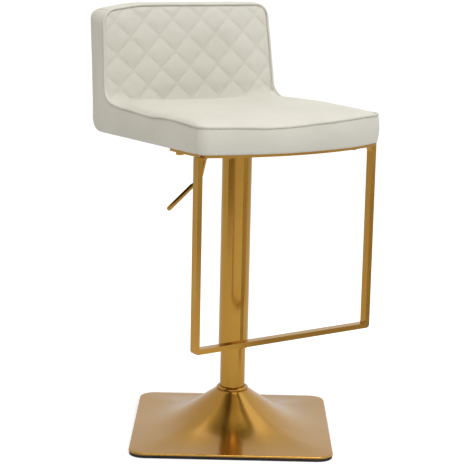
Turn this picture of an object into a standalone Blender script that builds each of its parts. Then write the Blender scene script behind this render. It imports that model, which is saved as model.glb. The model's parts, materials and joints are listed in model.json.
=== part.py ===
"""Bar stool: square pressed base, telescopic gas-lift column, hanging footrest and padded seat.

Metres, +Z up. The origin is on the column's axis at floor level. The seat faces -Y and the base
is turned about the column, as a swivelled stool stands. The stool is drawn part of the way up
its stroke: REST_LIFT above its lowest position.
"""
import math

import bmesh
import bpy
from mathutils import Matrix, Vector

# ---- Clearances ----
GAP = 0.0003            # between faces that rest on, or are fixed to, each other
RUNNING = 0.0006        # between a sliding or turning piece and its guide

# ---- Base ----
BASE_SIDE = 0.400
BASE_CORNER = 0.032
BASE_TURN = math.radians(-34.4)
PAD_THICK = 0.006
PAD_INSET = 0.0012
RIM_TOP = 0.0103
RIM_ROUND = 0.0022
SHEET = 0.002
NECK_TOP = 0.0855
NECK_OUTER = 0.0335
WEIGHT_RADIUS = 0.125
WEIGHT_THICK = 0.014
COLLAR_OUTER = 0.0325
COLLAR_HEIGHT = 0.0065

# ---- Column ----
LOWER_TUBE_RADIUS = 0.0253
LOWER_TUBE_WALL = 0.002
LOWER_TUBE_TOP = 0.385
COVER_TUBE_RADIUS = 0.0299
COVER_TUBE_WALL = 0.0014
FLANGE_RADIUS = 0.050
FLANGE_THICK = 0.005
FLANGE_BOLT_CIRCLE = 0.038
BUSH_LENGTH = 0.080
BUSH_LIP = 0.003
STROKE_DOWN = 0.080     # REST_LIFT: how far the drawn stool is above its lowest position
COVER_TO_COLLAR = 0.002  # what is left between cover tube and collar at the lowest position

# ---- Gas spring ----
CYLINDER_RADIUS = 0.014
CYLINDER_WALL = 0.0018
CYLINDER_SEAL = 0.012
TAPER_LENGTH = 0.045
TAPER_DROP = 0.0006
ROD_RADIUS = 0.005
ROD_STUB_RADIUS = 0.0044
PISTON_THICK = 0.012
ROD_REACH = 0.292       # height of the piston's top face
RACE_THICK = 0.002
RACE_OUTER = 0.0125
BALL_RADIUS = 0.0024
BALL_COUNT = 8
BALL_CIRCLE = 0.0090
BUMP_HEIGHT = 0.012
CLIP_THICK = 0.0015
BUTTON_RADIUS = 0.004
BUTTON_PROUD = 0.006
BUTTON_SHANK = 0.018

# ---- Mechanism under the seat ----
SEAT_UNDERSIDE = 0.6045
PLATE_SIZE = (0.190, 0.150)
PLATE_THICK = 0.003
PLATE_BOLTS = (0.078, 0.058)
BOX_SIZE = (0.090, 0.056)
BOX_HEIGHT = 0.016
BOX_WALL = 0.0025
SOCKET_OUTER = 0.019
SOCKET_LENGTH = 0.046
LEVER_RADIUS = 0.0033
LEVER_ARM = 0.0286      # from the valve button to the lever's pin
LEVER_HUB = 0.0046
LEVER_PIN_RADIUS = 0.002
LEVER_TURN_X = -0.0690   # where the lever leaves the box and turns down
LEVER_KNEE = (-0.0850, 0.5300)      # X and Z
LEVER_TIP = (-0.1615, 0.4705)
LEVER_BEND_RADIUS = 0.012
GRIP_RADIUS = 0.0046
GRIP_LENGTH = 0.072

# ---- Footrest ----
FOOTREST_HALF = 0.2085
FOOTREST_BOTTOM = 0.2275
FOOTREST_FRONT = -0.180
BAR_THICK = 0.0099
BAR_DEPTH = 0.0169
BAR_OUTER_ROUND = 0.007
BAR_INNER_ROUND = 0.002
BAR_FOOT_ROUND = 0.011
FRAME_THICK = 0.0048
FRAME_FRONT_WIDTH = 0.040
FRAME_ARM_WIDTH = 0.026
FRAME_REAR = -0.078
FRAME_INSET = 0.001
FRAME_BOLTS = ((-0.147, -0.182), (0.147, -0.182), (-0.194, -0.094), (0.194, -0.094))

# ---- Bolts ----
BOLT_RADIUS = 0.004
BOLT_HEAD_FLATS = 0.013
BOLT_HEAD_HEIGHT = 0.0058
BOLT_HOLE = 0.0045

# ---- Seat and back ----
SEAT_HALF = 0.2075
SEAT_FRONT = -0.234
SEAT_REAR = 0.2195
FRONT_RADIUS = 0.490
FRONT_CORNER = 0.017
REAR_CORNER = 0.008
HEEL_ROUND = 0.028      # the round edge between the underside and the rear
SEAT_EDGE = 0.6565      # height of the seat's top edge
SEAT_CROWN = 0.0145
COVER_THICK = 0.0013
COVER_OPENING_EDGE = 0.0045     # what the seat cover keeps round its opening under the back
BOARD_THICK = 0.012
BOARD_INSET = 0.0025
DUST_THICK = 0.001
BACK_HEIGHT = 0.199
BACK_THICK = 0.0535
BACK_CROWN = 0.006
BACK_CORNER = 0.028
BACK_TAPER = 0.0075
BACK_LEAN = math.tan(math.radians(7.4))    # rearward per unit of height
BACK_BOARD_THICK = 0.010
BACK_BOARD_OFFSET = 0.010   # from the rear face to the board
BRACKET_X = 0.110
BRACKET_WIDTH = 0.040
BRACKET_LEG = 0.048
BRACKET_THICK = 0.0025
PIPING_RADIUS = 0.0025
PIPING_SWEEP = 0.078        # how far forward the piping's curve reaches from the back

# ---- Heights that follow ----
WEIGHT_TOP = PAD_THICK + GAP + WEIGHT_THICK
FLANGE_TOP = WEIGHT_TOP + GAP + FLANGE_THICK
LOWER_TUBE_BOTTOM = FLANGE_TOP + GAP
COLLAR_TOP = NECK_TOP + GAP + COLLAR_HEIGHT
COVER_TUBE_BOTTOM = COLLAR_TOP + COVER_TO_COLLAR + STROKE_DOWN
LOWER_RACE = FLANGE_TOP + GAP
UPPER_RACE = LOWER_RACE + RACE_THICK + 2 * GAP + 2 * BALL_RADIUS
BUMP_BOTTOM = UPPER_RACE + RACE_THICK + GAP
CYLINDER_BOTTOM = BUMP_BOTTOM + BUMP_HEIGHT + COVER_TO_COLLAR + STROKE_DOWN
BOARD_BOTTOM = SEAT_UNDERSIDE + DUST_THICK + GAP
BOARD_TOP = BOARD_BOTTOM + BOARD_THICK
PLATE_BOTTOM = SEAT_UNDERSIDE - GAP - PLATE_THICK
BOX_BOTTOM = PLATE_BOTTOM - GAP - BOX_HEIGHT
COVER_TUBE_TOP = BOX_BOTTOM - GAP
LEVER_HEIGHT = BOX_BOTTOM + BOX_HEIGHT / 2 - 0.0004
BUTTON_TOP = LEVER_HEIGHT - LEVER_RADIUS - GAP
CYLINDER_TOP = BUTTON_TOP - BUTTON_PROUD
FRAME_BOTTOM = SEAT_UNDERSIDE - GAP - FRAME_THICK
BACK_BOTTOM = SEAT_EDGE + 0.001
BACK_SLOPE = BACK_TAPER / (BACK_HEIGHT - BACK_CORNER)
TONGUE_FOOT = BACK_BOTTOM - BOARD_TOP - GAP - 0.0004      # how far the board reaches into the seat
TONGUE_FRONT = SEAT_REAR - BACK_BOARD_OFFSET - BACK_BOARD_THICK - TONGUE_FOOT * BACK_LEAN
LOWER_TUBE_INNER = LOWER_TUBE_RADIUS - LOWER_TUBE_WALL
COVER_TUBE_INNER = COVER_TUBE_RADIUS - COVER_TUBE_WALL


# ---------------------------------------------------------------- scene and materials

def clear_scene():
    for obj in list(bpy.data.objects):
        bpy.data.objects.remove(obj, do_unlink=True)


def new_collection(name):
    collection = bpy.data.collections.new(name)
    bpy.context.scene.collection.children.link(collection)
    return collection


def make_material(name, color, roughness, metallic=0.0):
    material = bpy.data.materials.new(name)
    material.use_nodes = True
    shader = material.node_tree.nodes["Principled BSDF"]
    shader.inputs["Base Color"].default_value = (*color, 1.0)
    shader.inputs["Roughness"].default_value = roughness
    shader.inputs["Metallic"].default_value = metallic
    material.diffuse_color = (*color, 1.0)
    return material


clear_scene()
PARTS = new_collection("bar_stool")
CUTTERS = new_collection("cutters")

GOLD = make_material("satin_gold", (0.62, 0.40, 0.15), 0.32, 1.0)
STEEL = make_material("zinc_steel", (0.55, 0.56, 0.58), 0.35, 1.0)
BLACK_STEEL = make_material("black_steel", (0.03, 0.03, 0.03), 0.45, 0.6)
IRON = make_material("cast_iron", (0.10, 0.10, 0.10), 0.7, 0.8)
RUBBER = make_material("black_rubber", (0.02, 0.02, 0.02), 0.85)
NYLON = make_material("black_nylon", (0.03, 0.03, 0.03), 0.5)
PLYWOOD = make_material("plywood", (0.55, 0.38, 0.22), 0.75)
FOAM = make_material("foam", (0.80, 0.74, 0.52), 0.95)
LEATHER = make_material("ivory_leather", (0.72, 0.70, 0.63), 0.48)
DUST_CLOTH = make_material("dust_cloth", (0.02, 0.02, 0.02), 0.95)


# ---------------------------------------------------------------- object helpers

def add_object(name, data, material, collection=None):
    obj = bpy.data.objects.new(name, data)
    (collection or PARTS).objects.link(obj)
    if material:
        data.materials.append(material)
    return obj


def add_empty(name, location):
    empty = bpy.data.objects.new(name, None)
    empty.location = location
    PARTS.objects.link(empty)
    return empty


def ride(obj, empty):
    """Parent obj to an unrotated empty, and leave it where it is."""
    obj.parent = empty
    obj.matrix_parent_inverse = Matrix.Translation(-empty.location)
    return obj


def mesh_from(bm, name):
    mesh = bpy.data.meshes.new(name)
    bm.to_mesh(mesh)
    bm.free()
    return mesh


def smooth(obj, angle=35):
    obj.data.shade_smooth()
    obj.data.set_sharp_from_angle(angle=math.radians(angle))
    return obj


def box(name, size, centre, material, collection=None):
    bm = bmesh.new()
    bmesh.ops.create_cube(bm, size=1.0, matrix=Matrix.Diagonal((*size, 1.0)))
    obj = add_object(name, mesh_from(bm, name), material, collection)
    obj.location = centre
    return obj


def rods_mesh(name, centres, radius, low, high, segments=14):
    """Vertical cylinders at the given X, Y places, as one mesh."""
    bm = bmesh.new()
    for x, y in centres:
        bmesh.ops.create_cone(bm, cap_ends=True, segments=segments, radius1=radius, radius2=radius,
                              depth=high - low,
                              matrix=Matrix.Translation((x, y, (low + high) / 2)))
    return mesh_from(bm, name)


def turned(name, profile, material, segments=32, closed=True, collection=None):
    """A profile of (radius, z) points, down the outer side first, turned about Z."""
    bm = bmesh.new()
    verts = [bm.verts.new((r, 0.0, z)) for r, z in profile]
    for a, b in zip(verts, verts[1:]):
        bm.edges.new((a, b))
    if closed:
        bm.edges.new((verts[-1], verts[0]))
    obj = add_object(name, mesh_from(bm, name), material, collection)
    screw = obj.modifiers.new("turn", "SCREW")
    screw.axis = "Z"
    screw.steps = segments
    screw.render_steps = segments
    screw.use_merge_vertices = True
    screw.merge_threshold = 0.00001
    screw.use_smooth_shade = True
    return obj


def ring(name, inner, outer, bottom, top, material, segments=32):
    """A plain turned ring."""
    return turned(name, [(outer, top), (outer, bottom), (inner, bottom), (inner, top)],
                  material, segments)


def curve_path(name, points, radius, material, resolution=2, cyclic=False, collection=None):
    """A round bar along the given points."""
    curve = bpy.data.curves.new(name, "CURVE")
    curve.dimensions = "3D"
    curve.bevel_depth = radius
    curve.bevel_resolution = resolution
    curve.use_fill_caps = True
    spline = curve.splines.new("POLY")
    spline.points.add(len(points) - 1)
    for point, place in zip(spline.points, points):
        point.co = (*place, 1.0)
    spline.use_cyclic_u = cyclic
    return add_object(name, curve, material, collection)


def flat_outline(name, outline, thickness, material, collection=None):
    """A flat plate from a closed outline, centred on its own XY plane."""
    curve = bpy.data.curves.new(name, "CURVE")
    curve.dimensions = "2D"
    curve.fill_mode = "BOTH"
    curve.extrude = thickness / 2
    spline = curve.splines.new("POLY")
    spline.points.add(len(outline) - 1)
    for point, (x, y) in zip(spline.points, outline):
        point.co = (x, y, 0.0, 1.0)
    spline.use_cyclic_u = True
    return add_object(name, curve, material, collection)


def to_mesh(obj):
    """Replace a curve object by a mesh of the same name, with its caps welded."""
    name, material, matrix = obj.name, obj.data.materials[0], obj.matrix_basis.copy()
    collection = obj.users_collection[0]
    mesh = bpy.data.meshes.new_from_object(obj.evaluated_get(bpy.context.evaluated_depsgraph_get()))
    bm = bmesh.new()
    bm.from_mesh(mesh)
    bmesh.ops.remove_doubles(bm, verts=bm.verts, dist=0.00001)
    bm.to_mesh(mesh)
    bm.free()
    bpy.data.objects.remove(obj, do_unlink=True)
    mesh.materials.clear()
    solid = add_object(name, mesh, material, collection)
    solid.name = name
    solid.matrix_basis = matrix
    return solid


def plate(name, outline, bottom, thickness, material):
    """A horizontal plate from a closed outline."""
    obj = flat_outline(name, outline, thickness, material)
    obj.location.z = bottom + thickness / 2
    return to_mesh(obj)


def combine(obj, tool, operation="DIFFERENCE"):
    """Cut obj with a tool, or join the tool to it. The tool moves to the cutters."""
    if PARTS in tool.users_collection:
        PARTS.objects.unlink(tool)
        CUTTERS.objects.link(tool)
    tool.hide_render = True
    tool.display_type = "WIRE"
    modifier = obj.modifiers.new(operation.lower(), "BOOLEAN")
    modifier.operation = operation
    modifier.solver = "EXACT"
    modifier.object = tool
    return obj


def drill(obj, centres, radius, low, high, segments=14):
    """Round vertical holes through obj."""
    mesh = rods_mesh(obj.name + "_holes", centres, radius, low, high, segments)
    return combine(obj, add_object(obj.name + "_holes", mesh, None, CUTTERS))


# ---------------------------------------------------------------- outlines

def arc(cx, cy, radius, start, end, steps):
    """Points on an arc, both ends included. Angles in degrees."""
    angles = [math.radians(start + (end - start) * i / steps) for i in range(steps + 1)]
    return [(cx + radius * math.cos(a), cy + radius * math.sin(a)) for a in angles]


def rectangle(width, depth):
    x, y = width / 2, depth / 2
    return [(x, -y), (x, y), (-x, y), (-x, -y)]


def rounded_square(half, corner, steps=6, side_steps=1):
    """A square's outline, counter-clockwise, with round corners and divided sides."""
    c = half - corner
    points = []
    for quarter in range(4):
        turn = Matrix.Rotation(math.radians(90 * quarter), 2)
        side = [(half, -c + 2 * c * i / side_steps) for i in range(1, side_steps)]
        for point in side + arc(c, c, corner, 0, 90, steps):
            points.append(tuple(turn @ Vector(point)))
    return points


def seat_outline(inset=0.0, rear=SEAT_REAR, corner=FRONT_CORNER, front_steps=9, corner_steps=4):
    """The seat's plan: straight sides and rear, a bowed front, round corners."""
    half = SEAT_HALF - inset
    radius = FRONT_RADIUS - inset
    centre_y = SEAT_FRONT + FRONT_RADIUS
    corner = max(corner - inset, 0.002)
    corner_x = half - corner
    corner_y = centre_y - math.sqrt((radius - corner) ** 2 - corner_x ** 2)
    tangent = math.degrees(math.atan2(corner_y - centre_y, corner_x))
    heel = max(REAR_CORNER - inset, 0.002)
    right = arc(0, centre_y, radius, -90, tangent, front_steps)
    right += arc(corner_x, corner_y, corner, tangent, 0, corner_steps)[1:]
    right += arc(half - heel, rear - heel, heel, 0, 90, 3)
    return right + [(-x, y) for x, y in reversed(right[1:])]


def back_outline(inset=0.0, bottom=0.0):
    """The back seen from the front, as X and height, with round upper corners."""
    low = SEAT_HALF - inset
    high = SEAT_HALF - BACK_TAPER - inset
    corner = max(BACK_CORNER - inset, 0.003)
    top = BACK_HEIGHT - inset
    right = [(low - BACK_SLOPE * bottom, bottom)] + arc(high - corner, top - corner, corner, 0, 90, 6)
    return right + [(-x, z) for x, z in reversed(right)]


def nested(name, rings, material, close_first=True):
    """A solid or an open skin through loops that have the same number of points."""
    bm = bmesh.new()
    loops = [[bm.verts.new(point) for point in loop] for loop in rings]
    for lower, upper in zip(loops, loops[1:]):
        for i in range(len(lower)):
            j = (i + 1) % len(lower)
            bm.faces.new((lower[i], lower[j], upper[j], upper[i]))
    if close_first:
        bm.faces.new(list(reversed(loops[0])))
    bm.faces.new(loops[-1])
    return add_object(name, mesh_from(bm, name), material)


def solidify(obj, thickness):
    """Give an open skin its thickness, inwards."""
    modifier = obj.modifiers.new("thickness", "SOLIDIFY")
    modifier.thickness = thickness
    modifier.offset = -1.0
    modifier.use_even_offset = True
    return obj


# ---------------------------------------------------------------- base

def base_profile(share):
    """Radius and height of the pressing at mid-side, from the neck (0) to the rim (1)."""
    controls = ((NECK_OUTER, NECK_TOP), (0.105, 0.035), (0.125, RIM_TOP + 0.0042),
                (BASE_SIDE / 2 - RIM_ROUND, RIM_TOP))
    weights = ((1 - share) ** 3, 3 * share * (1 - share) ** 2, 3 * share ** 2 * (1 - share),
               share ** 3)
    return tuple(sum(w * c[k] for w, c in zip(weights, controls)) for k in (0, 1))


def make_base_shell():
    """A trumpet that flares from a round neck to a square plate with a turned-down rim."""
    square = [Vector(p) for p in rounded_square(BASE_SIDE / 2, BASE_CORNER, 6, 7)]
    inner_square = [Vector(p) for p in
                    rounded_square(BASE_SIDE / 2 - RIM_ROUND, BASE_CORNER - RIM_ROUND, 6, 7)]
    mid = BASE_SIDE / 2 - RIM_ROUND
    rings = []
    throat = LOWER_TUBE_RADIUS + 2 * GAP
    for radius, z in ((throat, NECK_TOP), (NECK_OUTER - 0.002, NECK_TOP)):
        rings.append([(*(p.normalized() * radius), z) for p in inner_square])
    steps = 11
    for step in range(steps + 1):
        radius, z = base_profile(step / steps)
        spread = ((radius - NECK_OUTER) / (mid - NECK_OUTER)) ** 2
        loop = []
        for p in inner_square:
            reach = p.length * spread + mid * (1 - spread)
            loop.append((*(p.normalized() * (radius * reach / mid)), z - 0.0006 * (step == 0)))
        rings.append(loop)
    edge = 0.3 * RIM_ROUND
    between = [a.lerp(b, 0.7) for a, b in zip(inner_square, square)]
    rings.append([(*p, RIM_TOP - edge) for p in between])
    rings.append([(*p, RIM_TOP - RIM_ROUND) for p in square])
    rings.append([(*p, PAD_THICK + GAP) for p in square])
    bm = bmesh.new()
    loops = [[bm.verts.new(point) for point in loop] for loop in rings]
    for inner, outer in zip(loops, loops[1:]):
        for i in range(len(inner)):
            j = (i + 1) % len(inner)
            bm.faces.new((inner[i], outer[i], outer[j], inner[j]))
    shell = add_object("base_shell", mesh_from(bm, "base_shell"), GOLD)
    shell.rotation_euler.z = BASE_TURN
    solidify(shell, SHEET)
    return smooth(shell)


def hex_bolt(name, x, y, seat_z, shank, material, upward=True):
    """A hexagon bolt whose head's bearing face is at seat_z; its shank points up or down."""
    bm = bmesh.new()
    sign = 1 if upward else -1
    bmesh.ops.create_cone(bm, cap_ends=True, segments=6, radius1=BOLT_HEAD_FLATS / math.sqrt(3),
                          radius2=BOLT_HEAD_FLATS / math.sqrt(3), depth=BOLT_HEAD_HEIGHT,
                          matrix=Matrix.Translation((0, 0, -sign * BOLT_HEAD_HEIGHT / 2)))
    bolt = add_object(name, mesh_from(bm, name), material)
    overlap = BOLT_HEAD_HEIGHT / 2
    low, high = (-overlap, shank) if upward else (-shank, overlap)
    tool = add_object(name + "_shank", rods_mesh(name + "_shank", [(0, 0)], BOLT_RADIUS, low, high),
                      None, CUTTERS)
    bolt.location = (x, y, seat_z)
    tool.location = (x, y, seat_z)
    return combine(bolt, tool, "UNION")


def make_base():
    make_base_shell()
    pad = plate("floor_pad", rounded_square(BASE_SIDE / 2 - PAD_INSET, BASE_CORNER - PAD_INSET, 6),
                0.0, PAD_THICK, RUBBER)
    pad.rotation_euler.z = BASE_TURN
    weight_bottom = PAD_THICK + GAP
    clip_room = RACE_OUTER + 0.004
    weight = ring("base_weight", clip_room, WEIGHT_RADIUS, weight_bottom, WEIGHT_TOP, IRON, 48)
    flange = ring("column_flange", ROD_STUB_RADIUS + RUNNING, FLANGE_RADIUS,
                  WEIGHT_TOP + GAP, FLANGE_TOP, BLACK_STEEL, 36)
    corners = [(FLANGE_BOLT_CIRCLE * math.cos(math.radians(a)),
                FLANGE_BOLT_CIRCLE * math.sin(math.radians(a))) for a in (45, 135, 225, 315)]
    drill(weight, corners, BOLT_HOLE, weight_bottom - 0.005, WEIGHT_TOP + 0.005)
    drill(flange, corners, BOLT_HOLE, WEIGHT_TOP - 0.005, FLANGE_TOP + 0.005)
    shank = FLANGE_TOP - weight_bottom - 0.002
    for number, (x, y) in enumerate(corners, 1):
        hex_bolt(f"flange_bolt_{number}", x, y, FLANGE_TOP + GAP, shank, STEEL, upward=False)
    inner = LOWER_TUBE_RADIUS + GAP
    low = NECK_TOP + GAP
    turned("column_collar",
           [(inner + 0.0012, COLLAR_TOP), (COLLAR_OUTER - 0.003, COLLAR_TOP - 0.0006),
            (COLLAR_OUTER - 0.0008, COLLAR_TOP - 0.0022), (COLLAR_OUTER, COLLAR_TOP - 0.0042),
            (COLLAR_OUTER - 0.0004, low), (inner, low), (inner, COLLAR_TOP - 0.0014)],
           GOLD, 48)


# ---------------------------------------------------------------- column and gas spring

def make_lower_column():
    ring("lower_tube", LOWER_TUBE_INNER, LOWER_TUBE_RADIUS, LOWER_TUBE_BOTTOM, LOWER_TUBE_TOP,
         GOLD, 48)
    bore = CYLINDER_RADIUS + RUNNING
    outer = LOWER_TUBE_INNER - GAP
    lip_bottom = LOWER_TUBE_TOP + GAP
    turned("guide_bush",
           [(LOWER_TUBE_RADIUS, lip_bottom + BUSH_LIP), (LOWER_TUBE_RADIUS, lip_bottom),
            (outer, lip_bottom), (outer, LOWER_TUBE_TOP - BUSH_LENGTH),
            (bore, LOWER_TUBE_TOP - BUSH_LENGTH), (bore, lip_bottom + BUSH_LIP)], NYLON, 36)
    bearing_inner = ROD_STUB_RADIUS + RUNNING
    ring("lower_race", bearing_inner, RACE_OUTER, LOWER_RACE, LOWER_RACE + RACE_THICK, STEEL, 28)
    ball_z = LOWER_RACE + RACE_THICK + GAP + BALL_RADIUS
    half = BALL_RADIUS * 0.45
    cage = ring("ball_cage", BALL_CIRCLE - 0.0026, BALL_CIRCLE + 0.0026, ball_z - half,
                ball_z + half, NYLON, 28)
    bm = bmesh.new()
    for number in range(BALL_COUNT):
        angle = 2 * math.pi * number / BALL_COUNT
        place = (BALL_CIRCLE * math.cos(angle), BALL_CIRCLE * math.sin(angle), ball_z)
        bmesh.ops.create_uvsphere(bm, u_segments=8, v_segments=6, radius=BALL_RADIUS,
                                  matrix=Matrix.Translation(place))
    combine(cage, add_object("balls", mesh_from(bm, "balls"), None, CUTTERS), "UNION")


def make_piston(swivel):
    bearing_inner = ROD_STUB_RADIUS + RUNNING
    race = ring("upper_race", bearing_inner, RACE_OUTER, UPPER_RACE, UPPER_RACE + RACE_THICK,
                STEEL, 28)
    bump = ring("bump_stop", ROD_RADIUS + GAP, RACE_OUTER - 0.001, BUMP_BOTTOM,
                BUMP_BOTTOM + BUMP_HEIGHT, RUBBER, 24)
    clip_top = WEIGHT_TOP - GAP
    clip_bottom = clip_top - CLIP_THICK
    groove = ROD_STUB_RADIUS - 0.001
    foot = PAD_THICK + GAP + 0.003
    piston_radius = CYLINDER_RADIUS - CYLINDER_WALL - RUNNING / 2
    piston_bottom = ROD_REACH - PISTON_THICK
    rod = turned("piston_rod",
                 [(0, ROD_REACH), (piston_radius, ROD_REACH), (piston_radius, piston_bottom),
                  (ROD_RADIUS, piston_bottom), (ROD_RADIUS, BUMP_BOTTOM),
                  (ROD_STUB_RADIUS, BUMP_BOTTOM), (ROD_STUB_RADIUS, clip_top + GAP),
                  (groove, clip_top + GAP), (groove, clip_bottom - GAP),
                  (ROD_STUB_RADIUS, clip_bottom - GAP), (ROD_STUB_RADIUS, foot + 0.001),
                  (ROD_STUB_RADIUS - 0.001, foot), (0, foot)], STEEL, 24, closed=False)
    clip = ring("retaining_clip", groove + GAP, ROD_STUB_RADIUS + 0.004, clip_bottom, clip_top,
                STEEL, 28)
    slot = box("clip_slot", (0.012, 2 * groove * 0.7, 0.01), (0.006, 0, clip_top), None, CUTTERS)
    combine(clip, slot)
    for obj in (race, bump, rod, clip):
        ride(obj, swivel)


def make_gas_cylinder(lift):
    outer = CYLINDER_RADIUS
    inner = outer - CYLINDER_WALL
    hole = ROD_RADIUS + RUNNING / 2
    top = CYLINDER_TOP
    valve = BUTTON_RADIUS + RUNNING / 2
    cylinder = turned("gas_cylinder",
                      [(outer - TAPER_DROP, top), (outer, top - TAPER_LENGTH),
                       (outer, CYLINDER_BOTTOM), (hole, CYLINDER_BOTTOM),
                       (hole, CYLINDER_BOTTOM + CYLINDER_SEAL),
                       (inner, CYLINDER_BOTTOM + CYLINDER_SEAL), (inner, top - TAPER_LENGTH),
                       (valve, top - TAPER_LENGTH + 0.012), (valve, top)], BLACK_STEEL, 32)
    cover = ring("cover_tube", COVER_TUBE_INNER, COVER_TUBE_RADIUS, COVER_TUBE_BOTTOM,
                 COVER_TUBE_TOP, GOLD, 48)
    guide = ring("cover_tube_guide", LOWER_TUBE_RADIUS + RUNNING, COVER_TUBE_INNER - GAP,
                 COVER_TUBE_BOTTOM + 0.0015, COVER_TUBE_BOTTOM + 0.0155, NYLON, 36)
    for obj in (cylinder, cover, guide):
        ride(obj, lift)


def make_valve_button(lift):
    stem = BUTTON_RADIUS
    button = turned("valve_button",
                    [(0, BUTTON_PROUD), (stem - 0.0008, BUTTON_PROUD),
                     (stem, BUTTON_PROUD - 0.0008), (stem, -BUTTON_SHANK), (0, -BUTTON_SHANK)],
                    STEEL, 20, closed=False)
    button.location.z = CYLINDER_TOP
    ride(button, lift)


# ---------------------------------------------------------------- mechanism

def bolt_places(half_x, half_y):
    return [(sx * half_x, sy * half_y) for sx in (-1, 1) for sy in (-1, 1)]


def make_mechanism(lift):
    seat_plate = plate("seat_plate", rectangle(*PLATE_SIZE), PLATE_BOTTOM, PLATE_THICK, BLACK_STEEL)
    bolts = bolt_places(*PLATE_BOLTS)
    drill(seat_plate, bolts, BOLT_HOLE, PLATE_BOTTOM - 0.005, SEAT_UNDERSIDE + 0.005)
    housing = box("mechanism_box", (*BOX_SIZE, BOX_HEIGHT),
                  (0, 0, BOX_BOTTOM + BOX_HEIGHT / 2), BLACK_STEEL)
    inside = box("box_inside", (BOX_SIZE[0] - 2 * BOX_WALL, BOX_SIZE[1] - 2 * BOX_WALL, BOX_HEIGHT),
                 (0, 0, BOX_BOTTOM + BOX_WALL + BOX_HEIGHT / 2), None, CUTTERS)
    combine(housing, inside)
    drill(housing, [(0, 0)], SOCKET_OUTER + GAP, BOX_BOTTOM - 0.005, BOX_BOTTOM + BOX_WALL + 0.002,
          32)
    slot_width = 2 * (LEVER_RADIUS + 0.0012)
    slot = box("lever_slot", (0.012, slot_width, BOX_HEIGHT),
               (-BOX_SIZE[0] / 2, 0, BOX_BOTTOM + BOX_WALL + BOX_HEIGHT / 2), None, CUTTERS)
    combine(housing, slot)
    pin_holes = turned("pin_holes", [(0, BOX_SIZE[1]), (LEVER_PIN_RADIUS + GAP, BOX_SIZE[1]),
                                     (LEVER_PIN_RADIUS + GAP, -BOX_SIZE[1]), (0, -BOX_SIZE[1])],
                       None, 16, closed=False, collection=CUTTERS)
    pin_holes.rotation_euler.x = math.pi / 2
    pin_holes.location = (-LEVER_ARM, 0, LEVER_HEIGHT)
    combine(housing, pin_holes)
    socket_top = BOX_BOTTOM + BOX_WALL
    socket_bottom = socket_top - SOCKET_LENGTH
    socket = turned("taper_socket",
                    [(SOCKET_OUTER, socket_top), (SOCKET_OUTER, socket_bottom),
                     (CYLINDER_RADIUS + GAP, socket_bottom),
                     (CYLINDER_RADIUS - TAPER_DROP + 3 * GAP, socket_top)], BLACK_STEEL, 32)
    for number, (x, y) in enumerate(bolts, 1):
        bolt = hex_bolt(f"plate_bolt_{number}", x, y, PLATE_BOTTOM - GAP,
                        BOARD_TOP - PLATE_BOTTOM - 0.001, STEEL)
        ride(bolt, lift)
        ride(bpy.data.objects[bolt.name + "_shank"], lift)
    pin = turned("lever_pin",
                 [(0, BOX_SIZE[1] / 2 + 0.002), (LEVER_PIN_RADIUS, BOX_SIZE[1] / 2 + 0.002),
                  (LEVER_PIN_RADIUS, -BOX_SIZE[1] / 2 - 0.002), (0, -BOX_SIZE[1] / 2 - 0.002)],
                 STEEL, 16, closed=False)
    pin.rotation_euler.x = math.pi / 2
    pin.location = (-LEVER_ARM, 0, LEVER_HEIGHT)
    for obj in (seat_plate, housing, socket, pin):
        ride(obj, lift)


def bent_path(corners, radius, steps=4):
    """Points along straight runs joined by arcs of the given radius."""
    corners = [Vector(c) for c in corners]
    points = [corners[0]]
    for before, corner, after in zip(corners, corners[1:], corners[2:]):
        u = (before - corner).normalized()
        v = (after - corner).normalized()
        half = u.angle(v) / 2
        reach = radius / math.tan(half)
        centre = corner + (u + v).normalized() * (radius / math.sin(half))
        start = corner + u * reach - centre
        end = corner + v * reach - centre
        sweep = start.angle(end)
        for i in range(steps + 1):
            a = sweep * i / steps
            points.append(centre + (start * math.sin(sweep - a) + end * math.sin(a))
                          / math.sin(sweep))
    points.append(corners[-1])
    return points


def make_lever(lever_axis):
    tip = Vector((LEVER_TIP[0], 0, LEVER_TIP[1]))
    turn = Vector((LEVER_TURN_X, 0, LEVER_HEIGHT))
    knee = Vector((LEVER_KNEE[0], 0, LEVER_KNEE[1]))
    direction = (tip - knee).normalized()
    end = tip - direction * (GRIP_RADIUS + 0.001)
    route = [Vector((BUTTON_RADIUS, 0, LEVER_HEIGHT)), turn, knee, end]
    lever = to_mesh(curve_path("release_lever", bent_path(route, LEVER_BEND_RADIUS), LEVER_RADIUS,
                               GOLD, 3))
    half = BOX_SIZE[1] / 2 - BOX_WALL - 0.0035
    hub = turned("lever_hub", [(0, half), (LEVER_HUB, half), (LEVER_HUB, -half), (0, -half)],
                 None, 24, closed=False, collection=CUTTERS)
    bore_radius = LEVER_PIN_RADIUS + GAP
    bore = turned("lever_bore", [(0, 2 * half), (bore_radius, 2 * half),
                                 (bore_radius, -2 * half), (0, -2 * half)],
                  None, 16, closed=False, collection=CUTTERS)
    for tool in (hub, bore):
        tool.rotation_euler.x = math.pi / 2
        tool.location = (-LEVER_ARM, 0, LEVER_HEIGHT)
    combine(lever, hub, "UNION")
    combine(lever, bore)
    bore_depth = GRIP_LENGTH - GRIP_RADIUS
    sleeve = LEVER_RADIUS + GAP
    dome = [(r, z) for r, z in arc(0, GRIP_RADIUS, GRIP_RADIUS, 0, -90, 5)]
    grip = turned("lever_grip",
                  [(GRIP_RADIUS - 0.0006, GRIP_LENGTH), (GRIP_RADIUS, GRIP_LENGTH - 0.0006)]
                  + dome + [(0, GRIP_LENGTH - bore_depth), (sleeve, GRIP_LENGTH - bore_depth),
                            (sleeve, GRIP_LENGTH)], GOLD, 20)
    grip.rotation_euler = (-direction).to_track_quat("Z", "Y").to_euler()
    grip.location = tip
    for obj in (lever, grip):
        ride(obj, lever_axis)


# ---------------------------------------------------------------- footrest

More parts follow.
